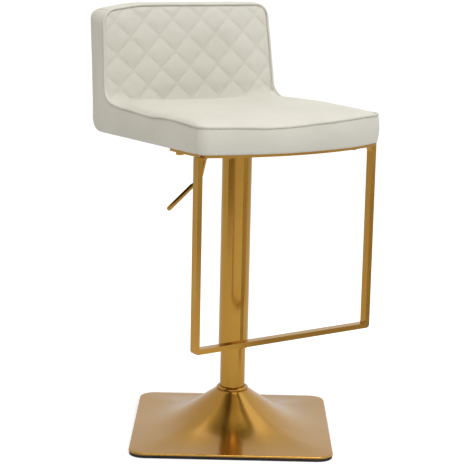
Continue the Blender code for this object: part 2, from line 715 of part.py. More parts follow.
def footrest_outline():
    """The loop seen from the front: two legs, a bottom bar, and feet that flare inwards."""
    outer = FOOTREST_HALF
    inner = outer - BAR_THICK
    low = FOOTREST_BOTTOM
    top = FRAME_BOTTOM - GAP
    foot = BAR_FOOT_ROUND
    right = [(0, low)]
    right += arc(outer - BAR_OUTER_ROUND, low + BAR_OUTER_ROUND, BAR_OUTER_ROUND, -90, 0, 5)
    right += [(outer, top), (inner - foot, top)]
    right += arc(inner - foot, top - 0.002 - foot, foot, 90, 0, 5)
    right += arc(inner - BAR_INNER_ROUND, low + BAR_THICK + BAR_INNER_ROUND, BAR_INNER_ROUND,
                 0, -90, 3)
    right += [(0, low + BAR_THICK)]
    return right + [(-x, z) for x, z in reversed(right[1:-1])]


def frame_outline():
    """The flat frame under the seat: a bowed front bar and two arms."""
    outer = [p for p in seat_outline(FRAME_INSET) if p[1] < FRAME_REAR - 0.001]
    right = [p for p in outer if p[0] >= 0]
    right.sort(key=lambda p: (p[0], p[1]))
    arm_outer = SEAT_HALF - FRAME_INSET
    arm_inner = arm_outer - FRAME_ARM_WIDTH
    centre_y = SEAT_FRONT + FRONT_RADIUS
    inner_radius = FRONT_RADIUS - FRAME_INSET - FRAME_FRONT_WIDTH
    limit = math.degrees(math.asin((arm_inner - 0.010) / inner_radius))
    right += [(arm_outer, FRAME_REAR), (arm_inner, FRAME_REAR)]
    meet = centre_y - math.sqrt(inner_radius ** 2 - arm_inner ** 2)
    right += [(arm_inner, meet + 0.012)]
    right += arc(0, centre_y, inner_radius, -90 + limit, -90, 6)
    return right + [(-x, y) for x, y in reversed(right[1:-1])]


def make_footrest(lift):
    loop = flat_outline("footrest_loop", footrest_outline(), BAR_DEPTH, GOLD)
    loop.rotation_euler.x = math.pi / 2
    loop.location.y = FOOTREST_FRONT + BAR_DEPTH / 2
    loop = to_mesh(loop)
    frame = plate("footrest_frame", frame_outline(), FRAME_BOTTOM, FRAME_THICK, GOLD)
    drill(frame, FRAME_BOLTS, BOLT_HOLE, FRAME_BOTTOM - 0.005, SEAT_UNDERSIDE + 0.005)
    for number, (x, y) in enumerate(FRAME_BOLTS, 1):
        bolt = hex_bolt(f"footrest_bolt_{number}", x, y, FRAME_BOTTOM - GAP,
                        BOARD_TOP - FRAME_BOTTOM - 0.001, GOLD)
        ride(bolt, lift)
        ride(bpy.data.objects[bolt.name + "_shank"], lift)
    for obj in (loop, frame):
        ride(obj, lift)


# ---------------------------------------------------------------- seat

def heel(z, inward=0.0):
    """The rear's Y at a height, round at the bottom edge, this far inside the outer face."""
    below = max(HEEL_ROUND - (z - SEAT_UNDERSIDE), 0.0)
    reach = max((HEEL_ROUND - inward) ** 2 - below ** 2, 0.0)
    return SEAT_REAR - HEEL_ROUND + math.sqrt(reach)


def seat_loop(inset, z, rear):
    return [(x, y, z) for x, y in seat_outline(inset, rear)]


def crown_loops(extra, front_of_back):
    """The seat's top from its edge to the middle of its crown, moved in by extra."""
    edge = SEAT_EDGE - extra
    rear = SEAT_REAR - extra
    steps = ((0.0, -0.0085, rear), (0.0035, -0.003, rear - 0.0035), (0.010, 0.0, rear - 0.010),
             (0.013, 0.0003, front_of_back), (0.028, 0.0050, front_of_back - 0.014),
             (0.055, 0.0100, front_of_back - 0.040), (0.092, 0.0130, front_of_back - 0.080),
             (0.135, SEAT_CROWN, front_of_back - 0.120))
    return [seat_loop(inset + extra, edge + rise, y) for inset, rise, y in steps]


def make_seat(lift):
    all_bolts = bolt_places(*PLATE_BOLTS) + list(FRAME_BOLTS)
    front_of_back = SEAT_REAR - BACK_THICK - 0.006
    wall = [SEAT_UNDERSIDE + HEEL_ROUND * share for share in (0.0, 0.09, 0.25, 0.48, 0.73, 1.0)]
    skin = [seat_loop(0.0, z, heel(z) + 0.002 * (z == SEAT_UNDERSIDE)) for z in wall]
    cover = nested("seat_cover", skin + crown_loops(0.0, front_of_back), LEATHER,
                   close_first=False)
    solidify(cover, COVER_THICK)
    smooth(cover)
    opening_depth = BACK_THICK - 2 * COVER_OPENING_EDGE
    opening = box("cover_opening", (2 * (SEAT_HALF - 3 * COVER_OPENING_EDGE), opening_depth, 0.030),
                  (0, SEAT_REAR - BACK_THICK / 2, SEAT_EDGE), None, CUTTERS)
    combine(cover, opening)
    liner = COVER_THICK + GAP
    foam_rear = TONGUE_FRONT - 2 * GAP
    foam_bottom = BOARD_TOP + GAP
    crown = crown_loops(liner, front_of_back)
    crown = [[(x, min(y, foam_rear), z) for x, y, z in loop] for loop in crown[1:]]
    foam_base = [seat_loop(0.0035 + liner, foam_bottom, foam_rear)]
    foam = nested("seat_foam", foam_base + crown, FOAM)
    heights = [BOARD_BOTTOM + BOARD_THICK * share for share in (0.0, 0.15, 0.45, 1.0)]
    board = nested("seat_board", [seat_loop(BOARD_INSET, z, heel(z, BOARD_INSET)) for z in heights],
                   PLYWOOD)
    drill(board, all_bolts, BOLT_HOLE, BOARD_BOTTOM - 0.005, BOARD_TOP + 0.005)
    dust = plate("dust_cover", seat_outline(BOARD_INSET, heel(SEAT_UNDERSIDE, BOARD_INSET)),
                 SEAT_UNDERSIDE, DUST_THICK, DUST_CLOTH)
    drill(dust, all_bolts, BOLT_HOLE, SEAT_UNDERSIDE - 0.005, BOARD_BOTTOM + 0.005)
    for obj in (cover, opening, foam, board, dust):
        ride(obj, lift)
    return foam


# ---------------------------------------------------------------- back

def leaning(x, depth, height):
    """A place on the back: X, depth in front of its rear face, height above its bottom."""
    return Vector((x, SEAT_REAR - depth + BACK_LEAN * height, BACK_BOTTOM + height))


def lean(obj, shift=(0.0, 0.0, 0.0)):
    """Move a solid made in the back's own frame to its place, leaning with the back."""
    shear = Matrix.Identity(4)
    shear[1][2] = BACK_LEAN
    obj.data.transform(shear @ Matrix.Translation(shift))
    obj.location = (0, SEAT_REAR, BACK_BOTTOM)
    return obj


def back_loop(inset, depth, bottom=0.0):
    return [(x, -depth, z) for x, z in back_outline(inset, bottom)]


def back_skin(extra, front_rise, bottom):
    """Loops from the rear face to the middle of the front, moved in by extra."""
    edge = BACK_THICK - extra
    steps = ((0.006, extra), (0.0015, extra + 0.0015), (0.0, extra + 0.005), (0.0, edge - 0.0085),
             (0.0035, edge - 0.003), (0.010, edge), (0.030, edge + 0.7 * front_rise),
             (0.060, edge + front_rise))
    return [back_loop(inset + extra, depth, bottom) for inset, depth in steps]


def make_back(lift, seat_foam):
    liner = COVER_THICK + GAP
    cover = lean(nested("back_cover", back_skin(0.0, BACK_CROWN, 0.0), LEATHER))
    inside = lean(nested("back_inside", back_skin(COVER_THICK, BACK_CROWN, -0.02), None))
    combine(cover, inside)
    smooth(cover)
    board_front = BACK_BOARD_OFFSET + BACK_BOARD_THICK
    middle = -(BACK_BOARD_OFFSET + BACK_BOARD_THICK / 2)
    board = to_mesh(flat_outline("back_board", back_outline(0.012, 0.001), BACK_BOARD_THICK, PLYWOOD))
    board.data.transform(Matrix.Rotation(math.pi / 2, 4, "X"))
    lean(board, (0, middle, 0))
    tongue_top = 0.020
    tongue = box("back_board_tongue", (2 * BRACKET_X + BRACKET_WIDTH, BACK_BOARD_THICK,
                                       TONGUE_FOOT + tongue_top), (0, 0, 0), None, CUTTERS)
    lean(tongue, (0, middle, (tongue_top - TONGUE_FOOT) / 2))
    combine(board, tongue, "UNION")
    front = back_skin(liner, BACK_CROWN, 0.001)[4:]
    foam_rear = [back_loop(0.0035 + liner, board_front + GAP, 0.001)]
    foam = lean(nested("back_foam", foam_rear + front, FOAM))
    for obj in (cover, inside, board, tongue, foam):
        ride(obj, lift)
    for side, name in ((-1, "left"), (1, "right")):
        make_bracket(f"bracket_{name}", side * BRACKET_X, lift, seat_foam, foam)


def make_bracket(name, x, lift, seat_foam, back_foam):
    """An angle bracket that ties the back board to the seat board."""
    low = BOARD_TOP + GAP
    rear = TONGUE_FRONT - GAP
    height = BRACKET_LEG * 0.8
    upright_depth = BACK_BOARD_OFFSET + BACK_BOARD_THICK + GAP + BRACKET_THICK / 2
    upright_middle = low + height / 2 - BACK_BOTTOM
    foot = box(name, (BRACKET_WIDTH, BRACKET_LEG, BRACKET_THICK),
               (x, rear - BRACKET_LEG / 2, low + BRACKET_THICK / 2), STEEL)
    upright = box(name + "_upright", (BRACKET_WIDTH, BRACKET_THICK, height), (0, 0, 0), None, CUTTERS)
    lean(upright, (x, -upright_depth, upright_middle))
    combine(foot, upright, "UNION")
    room = 0.0008
    foot_room = box(name + "_foot_room", (BRACKET_WIDTH + 2 * room, BRACKET_LEG + 2 * room + 0.02,
                                          BRACKET_THICK + 2 * room),
                    (x, rear - BRACKET_LEG / 2 + 0.01, low + BRACKET_THICK / 2), None, CUTTERS)
    upright_room = box(name + "_upright_room", (BRACKET_WIDTH + 2 * room, BRACKET_THICK + 0.02,
                                                height + 2 * room), (0, 0, 0), None, CUTTERS)
    lean(upright_room, (x, 0.01 - room - upright_depth, upright_middle))
    for pocket in (foot_room, upright_room):
        combine(seat_foam, pocket)
        combine(back_foam, pocket)
        ride(pocket, lift)
    ride(foot, lift)
    ride(upright, lift)


# ---------------------------------------------------------------- piping

def piping_route():
    """Once round the padded inner face: seat edge, curve, back edge, and back again."""
    inset = 0.0005
    seat_z = SEAT_EDGE - 0.001
    depth = BACK_THICK - 0.001
    plan = [p for p in seat_outline(inset) if p[1] < 0]
    right_front = sorted((p for p in plan if p[0] > 0.0001), key=lambda p: (p[0], p[1]))
    seat = [Vector((0, min(p[1] for p in plan), seat_z))]
    seat += [Vector((x, y, seat_z)) for x, y in right_front]
    up = [leaning(x, depth, z) for x, z in back_outline(inset)[1:8]]
    half = SEAT_HALF - inset
    foot = leaning(half - 0.038 * BACK_SLOPE, depth, 0.038)
    bend = leaning(half, depth, 0.010)
    ahead = Vector((half, foot.y - PIPING_SWEEP * 0.45, seat_z + 0.001))
    end = Vector((half, foot.y - PIPING_SWEEP, seat_z))
    steps = 9
    sweep = []
    for i in range(steps + 1):
        t = i / steps
        sweep.append(end * (1 - t) ** 3 + ahead * 3 * t * (1 - t) ** 2
                     + bend * 3 * t ** 2 * (1 - t) + foot * t ** 3)
    right = seat[1:] + sweep + up
    left = [Vector((-p.x, p.y, p.z)) for p in reversed(right)]
    return [seat[0]] + right + left


def make_piping(lift):
    ride(curve_path("piping", piping_route(), PIPING_RADIUS, LEATHER, 1, cyclic=True), lift)


# ---------------------------------------------------------------- assembly

def main():
    swivel = add_empty("swivel_axis", Vector((0, 0, FLANGE_TOP)))
    lift = add_empty("lift_axis", Vector((0, 0, CYLINDER_BOTTOM)))
    lever_axis = add_empty("lever_axis", Vector((-LEVER_ARM, 0, LEVER_HEIGHT)))
    make_base()
    make_lower_column()
    make_piston(swivel)
    make_gas_cylinder(lift)
    make_valve_button(lift)
    make_mechanism(lift)
    make_lever(lever_axis)
    make_footrest(lift)
    seat_foam = make_seat(lift)
    make_back(lift, seat_foam)
    make_piping(lift)


main()
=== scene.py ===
"""Looks of the bar stool: its upholstery, piping, stitching, base pressing and every finish."""
import json
import math

import bmesh
import bpy
import numpy as np
from mathutils import Matrix, Vector, noise


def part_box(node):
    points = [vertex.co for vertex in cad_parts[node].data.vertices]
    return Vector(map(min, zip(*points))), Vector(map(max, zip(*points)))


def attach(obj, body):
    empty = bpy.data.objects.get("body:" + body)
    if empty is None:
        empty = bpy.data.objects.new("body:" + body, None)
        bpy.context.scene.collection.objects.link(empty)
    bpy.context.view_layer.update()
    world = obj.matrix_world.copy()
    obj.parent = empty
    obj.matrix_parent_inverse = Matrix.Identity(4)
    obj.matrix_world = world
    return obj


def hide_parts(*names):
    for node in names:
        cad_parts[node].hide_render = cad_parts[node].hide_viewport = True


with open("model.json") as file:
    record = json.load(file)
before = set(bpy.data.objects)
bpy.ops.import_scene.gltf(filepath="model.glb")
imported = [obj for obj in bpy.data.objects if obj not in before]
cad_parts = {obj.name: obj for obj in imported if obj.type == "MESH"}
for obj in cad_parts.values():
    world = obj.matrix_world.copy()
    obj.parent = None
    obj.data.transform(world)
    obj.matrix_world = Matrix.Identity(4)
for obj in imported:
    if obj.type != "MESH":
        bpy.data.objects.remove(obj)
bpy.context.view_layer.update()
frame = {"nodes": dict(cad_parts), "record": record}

# ---- Places read from the frame (metres) ----
SEAT_LOW, SEAT_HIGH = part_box("seat_cover")
BACK_LOW, BACK_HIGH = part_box("back_cover")
PIPING_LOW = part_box("piping")[0]
SHELL_LOW, SHELL_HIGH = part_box("base_shell")
HALF = SEAT_HIGH.x
FRONT = SEAT_LOW.y
REAR = SEAT_HIGH.y
UNDER = SEAT_LOW.z
BACK_BOTTOM = BACK_LOW.z
BACK_HEIGHT = BACK_HIGH.z - BACK_LOW.z

# ---- Shape of the upholstery ----
PIPING_RADIUS = 0.0025
EDGE = PIPING_LOW.z + PIPING_RADIUS     # height of the piping round the seat
FRONT_RADIUS = 0.490
FRONT_CORNER = 0.017
HEEL = 0.028
LEAN = math.tan(math.radians(7.4))
BACK_THICK = 0.0535
PIPING_DEPTH = BACK_THICK - 0.001
TOP_CORNER = 0.028      # radius of the back's upper corners at the piping
CORNER_FULLNESS = 0.60  # 1 for a round rear corner, less for a fuller one
TAPER = 0.0075          # how much narrower each side of the back is at the top
SLOPE = TAPER / (BACK_HEIGHT - TOP_CORNER)
CORNER_X = HALF - TAPER - TOP_CORNER
CORNER_Z = BACK_HEIGHT - TOP_CORNER
FAN_START = 0.060       # where the boxing starts to widen toward the back, as Y
SWEEP = 0.078           # how far forward the piping's curve reaches from the back
SWEEP_TOP = 0.038       # where the curve starts, above the back's bottom
FRONT_SEAM_Y = -0.1735  # just behind the front corner's bend
DROOP = 0.0125          # how far the soft upper left corner hangs

# ---- Leather round the sides ----
LEATHER = 0.0013
BOXING_BULGE = 0.0022
BOXING_ROUND = 0.0045   # radius of the turned outer edge
BOXING_TOP = 0.0062     # how far below the piping the flat band starts
REAR_INSET = 0.0085     # from the outline to the rear panel's seam

# ---- Padding ----
SEAT_DEPTH = 0.385
SEAT_CROWN_FRONT = 0.0105
SEAT_CROWN_REAR = 0.0160
SEAT_ROLL_SIDE = 0.062  # how far in from the side the crown is reached
SEAT_ROLL_FRONT = 0.060
SEAT_SAG = 0.0035       # hollow where the sitter's weight goes
SEAT_TUCK = 0.0060      # drop of the padding into the fold at the back
# How far the soft edge round the seat rises or sinks: X, Y, lift
WAVES = ((0.195, -0.180, 0.0048), (0.149, -0.210, 0.0050), (0.085, -0.226, 0.0032),
         (0.010, -0.234, 0.0006), (-0.065, -0.230, -0.0030), (-0.146, -0.211, -0.0010),
         (-0.205, -0.155, 0.0), (-0.2075, -0.100, 0.0036), (-0.2075, -0.064, 0.0036),
         (-0.2075, -0.006, 0.0), (-0.2075, 0.070, 0.0044), (-0.2075, 0.125, 0.0044),
         (-0.2075, 0.160, 0.0), (0.2075, 0.120, 0.0), (0.2075, 0.030, 0.0030),
         (0.2075, -0.100, 0.0044))
CREASE_MIDDLE = 0.6650  # height of the fold between seat and back, in the middle
CREASE_END = 0.6780     # and where it meets the piping
BACK_CROWN = 0.0045
QUILT_WIDTH = 0.0682
QUILT_HEIGHT = 0.0655
QUILT_X = -0.0397
QUILT_Z = 0.8266
QUILT_TILT = 0.030
QUILT_SKEW = 0.038
QUILT_RISE = 0.0030

# ---- Base pressing, as in the CAD ----
BASE_SIDE = 0.400
BASE_CORNER = 0.032
BASE_TURN = math.radians(-34.4)
NECK_TOP = SHELL_HIGH.z
NECK_OUTER = 0.0335
RIM_TOP = 0.0103
RIM_ROUND = 0.0022
RIM_BOTTOM = SHELL_LOW.z
THROAT = 0.0259
SHEET = 0.002

# ---- Studio ----
VIEW_TURN = -34.369     # degrees from the seat's front to the camera's side
FLOOR_GLOW = 0.42       # lifts the floor to white for the camera only
STAGE = 14.0            # half width of the glowing floor, and the backdrop's radius
BACKDROP_SIDES = 24


# ======== node materials ========

class Nodes:
    """A material's node tree, with short calls for what is used often."""

    def __init__(self, name):
        self.material = bpy.data.materials.new(name)
        self.material.use_nodes = True
        self.tree = self.material.node_tree
        self.shader = self.tree.nodes["Principled BSDF"]
        self.place = self.add("ShaderNodeTexCoord").outputs["Object"]

    def add(self, kind, **values):
        node = self.tree.nodes.new(kind)
        for name, value in values.items():
            setattr(node, name, value)
        return node

    def link(self, source, target):
        self.tree.links.new(source, target)

    def set(self, **values):
        for name, value in values.items():
            self.shader.inputs[name.replace("_", " ")].default_value = value

    def scaled(self, scale):
        mapping = self.add("ShaderNodeMapping")
        mapping.inputs["Scale"].default_value = scale
        self.link(self.place, mapping.inputs["Vector"])
        return mapping.outputs["Vector"]

    def noise(self, scale, detail=3.0, roughness=0.5, vector=None):
        node = self.add("ShaderNodeTexNoise")
        node.inputs["Scale"].default_value = scale
        node.inputs["Detail"].default_value = detail
        node.inputs["Roughness"].default_value = roughness
        self.link(vector or self.place, node.inputs["Vector"])
        return node.outputs["Fac"]

    def cells(self, scale, feature="F1", vector=None):
        node = self.add("ShaderNodeTexVoronoi", feature=feature)
        node.inputs["Scale"].default_value = scale
        self.link(vector or self.place, node.inputs["Vector"])
        return node.outputs["Distance"]

    def spread(self, value, low, high, from_low=0.3, from_high=0.7):
        """A value moved to the range low to high."""
        node = self.add("ShaderNodeMapRange")
        for name, number in (("From Min", from_low), ("From Max", from_high),
                             ("To Min", low), ("To Max", high)):
            node.inputs[name].default_value = number
        self.link(value, node.inputs["Value"])
        return node.outputs["Result"]

    def blend(self, factor, first, second):
        """A colour between first and second."""
        node = self.add("ShaderNodeMix", data_type="RGBA")
        node.inputs["A"].default_value = (*first, 1)
        node.inputs["B"].default_value = (*second, 1)
        self.link(factor, node.inputs["Factor"])
        return node.outputs["Result"]

    def math(self, operation, first, second):
        node = self.add("ShaderNodeMath", operation=operation)
        for socket, value in zip(node.inputs, (first, second)):
            if isinstance(value, (int, float)):
                socket.default_value = value
            else:
                self.link(value, socket)
        return node.outputs["Value"]

    def bump(self, height, distance, strength=1.0, below=None):
        node = self.add("ShaderNodeBump")
        node.inputs["Strength"].default_value = strength
        node.inputs["Distance"].default_value = distance
        self.link(height, node.inputs["Height"])
        if below:
            self.link(below, node.inputs["Normal"])
        return node.outputs["Normal"]

    def finish(self, color=None, roughness=None, normal=None):
        for name, source in (("Base Color", color), ("Roughness", roughness), ("Normal", normal)):
            if source:
                self.link(source, self.shader.inputs[name])
        return self.material


def leather():
    """Ivory coated leather: fine pebble grain, soft creases, a low uneven gloss."""
    n = Nodes("ivory_leather")
    n.set(Specular_IOR_Level=0.42, Coat_Weight=0.06, Coat_Roughness=0.35)
    cloudy = n.noise(9.0, 4.0, 0.55)
    color = n.blend(n.spread(cloudy, 0, 1), (0.545, 0.530, 0.460), (0.595, 0.580, 0.510))
    grain = n.cells(880.0, "SMOOTH_F1")
    pores = n.noise(2400.0, 2.0, 0.6)
    pebble = n.math("ADD", n.math("MULTIPLY", grain, 0.8), n.math("MULTIPLY", pores, 0.25))
    creases = n.noise(70.0, 5.0, 0.62, n.scaled((1.0, 0.6, 1.0)))
    normal = n.bump(pebble, 0.00022, 0.55, n.bump(creases, 0.0009, 0.28))
    rough = n.math("ADD", n.spread(cloudy, 0.40, 0.50), n.math("MULTIPLY", grain, 0.12))
    return n.finish(color, rough, normal)


def thread():
    """Twisted polyester thread, a shade lighter than the leather."""
    n = Nodes("ivory_thread")
    twist = n.add("ShaderNodeTexWave", bands_direction="DIAGONAL")
    twist.inputs["Scale"].default_value = 900.0
    n.link(n.place, twist.inputs["Vector"])
    color = n.blend(twist.outputs["Fac"], (0.52, 0.50, 0.43), (0.64, 0.62, 0.55))
    return n.finish(color, n.spread(twist.outputs["Fac"], 0.5, 0.7, 0, 1),
                    n.bump(twist.outputs["Fac"], 0.0001, 0.6))


def gold(name, brush, turned=0.0, satin=0.10, coat=0.15):
    """Satin gold plating with fine brush marks. A turned piece has them round its axis."""
    n = Nodes(name)
    n.set(Metallic=1.0, Coat_Weight=coat, Coat_Roughness=0.10)
    if turned:
        n.set(Anisotropic=turned, Anisotropic_Rotation=0.25)
        tangent = n.add("ShaderNodeTangent", direction_type="RADIAL", axis="Z")
        n.link(tangent.outputs["Tangent"], n.shader.inputs["Tangent"])
    lines = n.noise(1.0, 5.0, 0.65, n.scaled(brush))
    clouds = n.noise(14.0, 3.0, 0.5)
    tone = n.math("ADD", n.math("MULTIPLY", lines, 0.6), n.math("MULTIPLY", clouds, 0.4))
    color = n.blend(n.spread(tone, 0, 1, 0.35, 0.65),
                    (0.450, 0.232, 0.034), (0.520, 0.282, 0.050))
    rough = n.math("ADD", n.spread(lines, satin, satin + 0.07), n.spread(clouds, 0.0, 0.03))
    return n.finish(color, rough, n.bump(lines, 0.00006, 0.5))


def steel(name, dark, light, roughness, metallic=1.0):
    """Plated or painted steel with a fine uneven surface."""
    n = Nodes(name)
    n.set(Metallic=metallic)
    spots = n.noise(320.0, 4.0, 0.6)
    clouds = n.noise(40.0, 3.0, 0.5)
    color = n.blend(n.spread(clouds, 0, 1), dark, light)
    return n.finish(color, n.spread(spots, roughness - 0.07, roughness + 0.07),
                    n.bump(spots, 0.00012, 0.5))


def rubber(name, color, roughness=0.8):
    """Moulded rubber or nylon with a dull spark-eroded surface."""
    n = Nodes(name)
    n.set(Specular_IOR_Level=0.35)
    grain = n.noise(700.0, 4.0, 0.7)
    light = tuple(c * 1.8 + 0.004 for c in color)
    shade = n.blend(n.spread(n.noise(30.0), 0, 1), color, light)
    return n.finish(shade, n.spread(grain, roughness - 0.08, roughness + 0.08),
                    n.bump(grain, 0.0002, 0.6))


def plywood():
    """Birch plywood: long grain and faint plies."""
    n = Nodes("plywood")
    grain = n.noise(1.0, 6.0, 0.6, n.scaled((60.0, 6.0, 400.0)))
    color = n.blend(n.spread(grain, 0, 1), (0.42, 0.27, 0.15), (0.62, 0.45, 0.28))
    return n.finish(color, n.spread(grain, 0.62, 0.80), n.bump(grain, 0.0002, 0.5))


def dust_cloth():
    """Black non-woven cloth: pressed fibres and a fine dimple pattern."""
    n = Nodes("dust_cloth")
    n.set(Sheen_Weight=0.15, Sheen_Roughness=0.5)
    fibres = n.noise(900.0, 5.0, 0.7, n.scaled((1.0, 0.35, 1.0)))
    dimples = n.cells(420.0)
    color = n.blend(n.spread(fibres, 0, 1), (0.016, 0.016, 0.016), (0.045, 0.044, 0.042))
    height = n.math("ADD", fibres, n.math("MULTIPLY", dimples, 0.6))
    return n.finish(color, n.spread(fibres, 0.85, 0.98), n.bump(height, 0.0003, 0.7))


def foam():
    """Open-cell foam."""
    n = Nodes("foam")
    cells = n.cells(800.0)
    color = n.blend(n.spread(cells, 0, 1, 0.0, 0.6), (0.55, 0.47, 0.27), (0.80, 0.73, 0.50))
    return n.finish(color, n.spread(cells, 0.85, 0.97, 0.0, 0.6), n.bump(cells, 0.0006, 0.8))


IVORY = leather()
THREAD = thread()
GOLD_TURNED = gold("satin_gold_turned", (60.0, 60.0, 2600.0), 0.5)
GOLD_FLAT = gold("satin_gold_flat", (900.0, 900.0, 900.0))
GOLD_BASE = gold("satin_gold_base", (420.0, 420.0, 420.0), 1.0, 0.16, 0.40)
FINISHES = {
    "satin_gold": GOLD_FLAT,
    "zinc_steel": steel("zinc_steel", (0.42, 0.43, 0.45), (0.56, 0.57, 0.58), 0.34),
    "black_steel": steel("black_steel", (0.012, 0.012, 0.012), (0.028, 0.028, 0.028), 0.42, 0.0),
    "cast_iron": steel("cast_iron", (0.05, 0.05, 0.05), (0.11, 0.11, 0.10), 0.65, 0.6),
    "black_rubber": rubber("black_rubber", (0.012, 0.012, 0.012)),
    "black_nylon": rubber("black_nylon", (0.018, 0.018, 0.018), 0.5),
    "plywood": plywood(),
    "foam": foam(),
    "ivory_leather": IVORY,
    "dust_cloth": dust_cloth(),
}
TURNED = ("lower_tube", "cover_tube", "column_collar")


def dress_cad():
    """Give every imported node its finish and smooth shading."""
    slots = {row["node"]: row["material_slot"] for row in frame["record"]["subparts"]}
    for name, node in frame["nodes"].items():
        node.data.materials.clear()
        node.data.materials.append(GOLD_TURNED if name in TURNED else FINISHES[slots[name]])
        node.data.shade_smooth()
        node.data.set_sharp_from_angle(angle=math.radians(35))


# ======== mesh helpers ========

def linked(name, data):
    """A new object in the scene."""
    obj = bpy.data.objects.new(name, data)
    bpy.context.scene.collection.objects.link(obj)
    return obj


def new_mesh(name, bm, material):
    """An object made of bm, which is freed."""
    mesh = bpy.data.meshes.new(name)
    bm.to_mesh(mesh)
    bm.free()
    mesh.materials.append(material)
    mesh.shade_smooth()
    return linked(name, mesh)


def apply_modifiers(obj):
    """Replace obj's mesh by what its modifiers make of it."""
    graph = bpy.context.evaluated_depsgraph_get()
    mesh = bpy.data.meshes.new_from_object(obj.evaluated_get(graph))
    obj.modifiers.clear()
    obj.data = mesh


def subdivided(obj, levels):
    """Smooth obj's mesh, and give its new points and normals."""
    obj.modifiers.new("subdivision", "SUBSURF").levels = levels
    apply_modifiers(obj)
    return read_rows(obj.data.vertices, "co"), read_rows(obj.data.vertex_normals, "vector")


def sheet_mesh(name, grid, material, thickness=LEATHER, closed=False):
    """A thin solid sheet through a grid of points. Its outer side keeps the points."""
    bm = bmesh.new()
    rows = [[bm.verts.new(point) for point in row] for row in grid]
    for low, high in zip(rows, rows[1:]):
        count = len(low)
        for i in range(count if closed else count - 1):
            j = (i + 1) % count
            bm.faces.new((low[i], low[j], high[j], high[i]))
    obj = new_mesh(name, bm, material)
    solid = obj.modifiers.new("thickness", "SOLIDIFY")
    solid.thickness = thickness
    solid.offset = -1.0
    apply_modifiers(obj)
    obj.data.shade_smooth()
    return obj


def read_rows(items, name):
    """A three-number property of every item, one row each."""
    values = np.empty(len(items) * 3)
    items.foreach_get(name, values)
    return values.reshape(-1, 3)


def set_points(obj, points):
    """Move every point of obj's mesh."""
    obj.data.vertices.foreach_set("co", points.astype(np.float32).ravel())
    obj.data.update()


def step(values, low, high):
    """A smooth rise from 0 at low to 1 at high."""
    t = np.clip((np.asarray(values, float) - low) / (high - low), 0, 1)
    return t * t * (3 - 2 * t)


def along(points):
    """How far along the line each of its points is."""
    gaps = np.linalg.norm(np.diff(points, axis=0), axis=1)
    return np.concatenate(([0.0], np.cumsum(gaps)))


def resample(points, count):
    """Points at even steps along a line."""
    places = along(points)
    wanted = np.linspace(0, places[-1], count)
    return np.stack([np.interp(wanted, places, points[:, k]) for k in range(3)], axis=1)


def coons(low, high, left, right, across, up):
    """A grid of points inside four border lines; low and high run left to right."""
    low, high = resample(low, across), resample(high, across)
    left, right = resample(left, up), resample(right, up)
    u = np.linspace(0, 1, across)[None, :, None]
    v = np.linspace(0, 1, up)[:, None, None]
    corners = ((1 - u) * (1 - v) * low[0] + u * (1 - v) * low[-1]
               + (1 - u) * v * high[0] + u * v * high[-1])
    return ((1 - v) * low[None] + v * high[None] + (1 - u) * left[:, None]
            + u * right[:, None] - corners)


def bezier(controls, count):
    """Points on a cubic curve."""
    t = np.linspace(0, 1, count)[:, None]
    a, b, c, d = (np.array(p, float) for p in controls)
    return a * (1 - t) ** 3 + b * 3 * t * (1 - t) ** 2 + c * 3 * t ** 2 * (1 - t) + d * t ** 3


# ======== the upholstery's border lines ========

def leaning(x, depth, height):
    """A place on the back: X, depth in front of its rear face, height above its bottom."""
    return (x, REAR - depth + LEAN * height, BACK_BOTTOM + height)


def squarer(angle, radius):
    """X and height on an upper corner of the back that is fuller than a circle."""
    return (CORNER_X + radius * math.cos(angle) ** CORNER_FULLNESS,
            CORNER_Z + radius * max(math.sin(angle), 0) ** CORNER_FULLNESS)


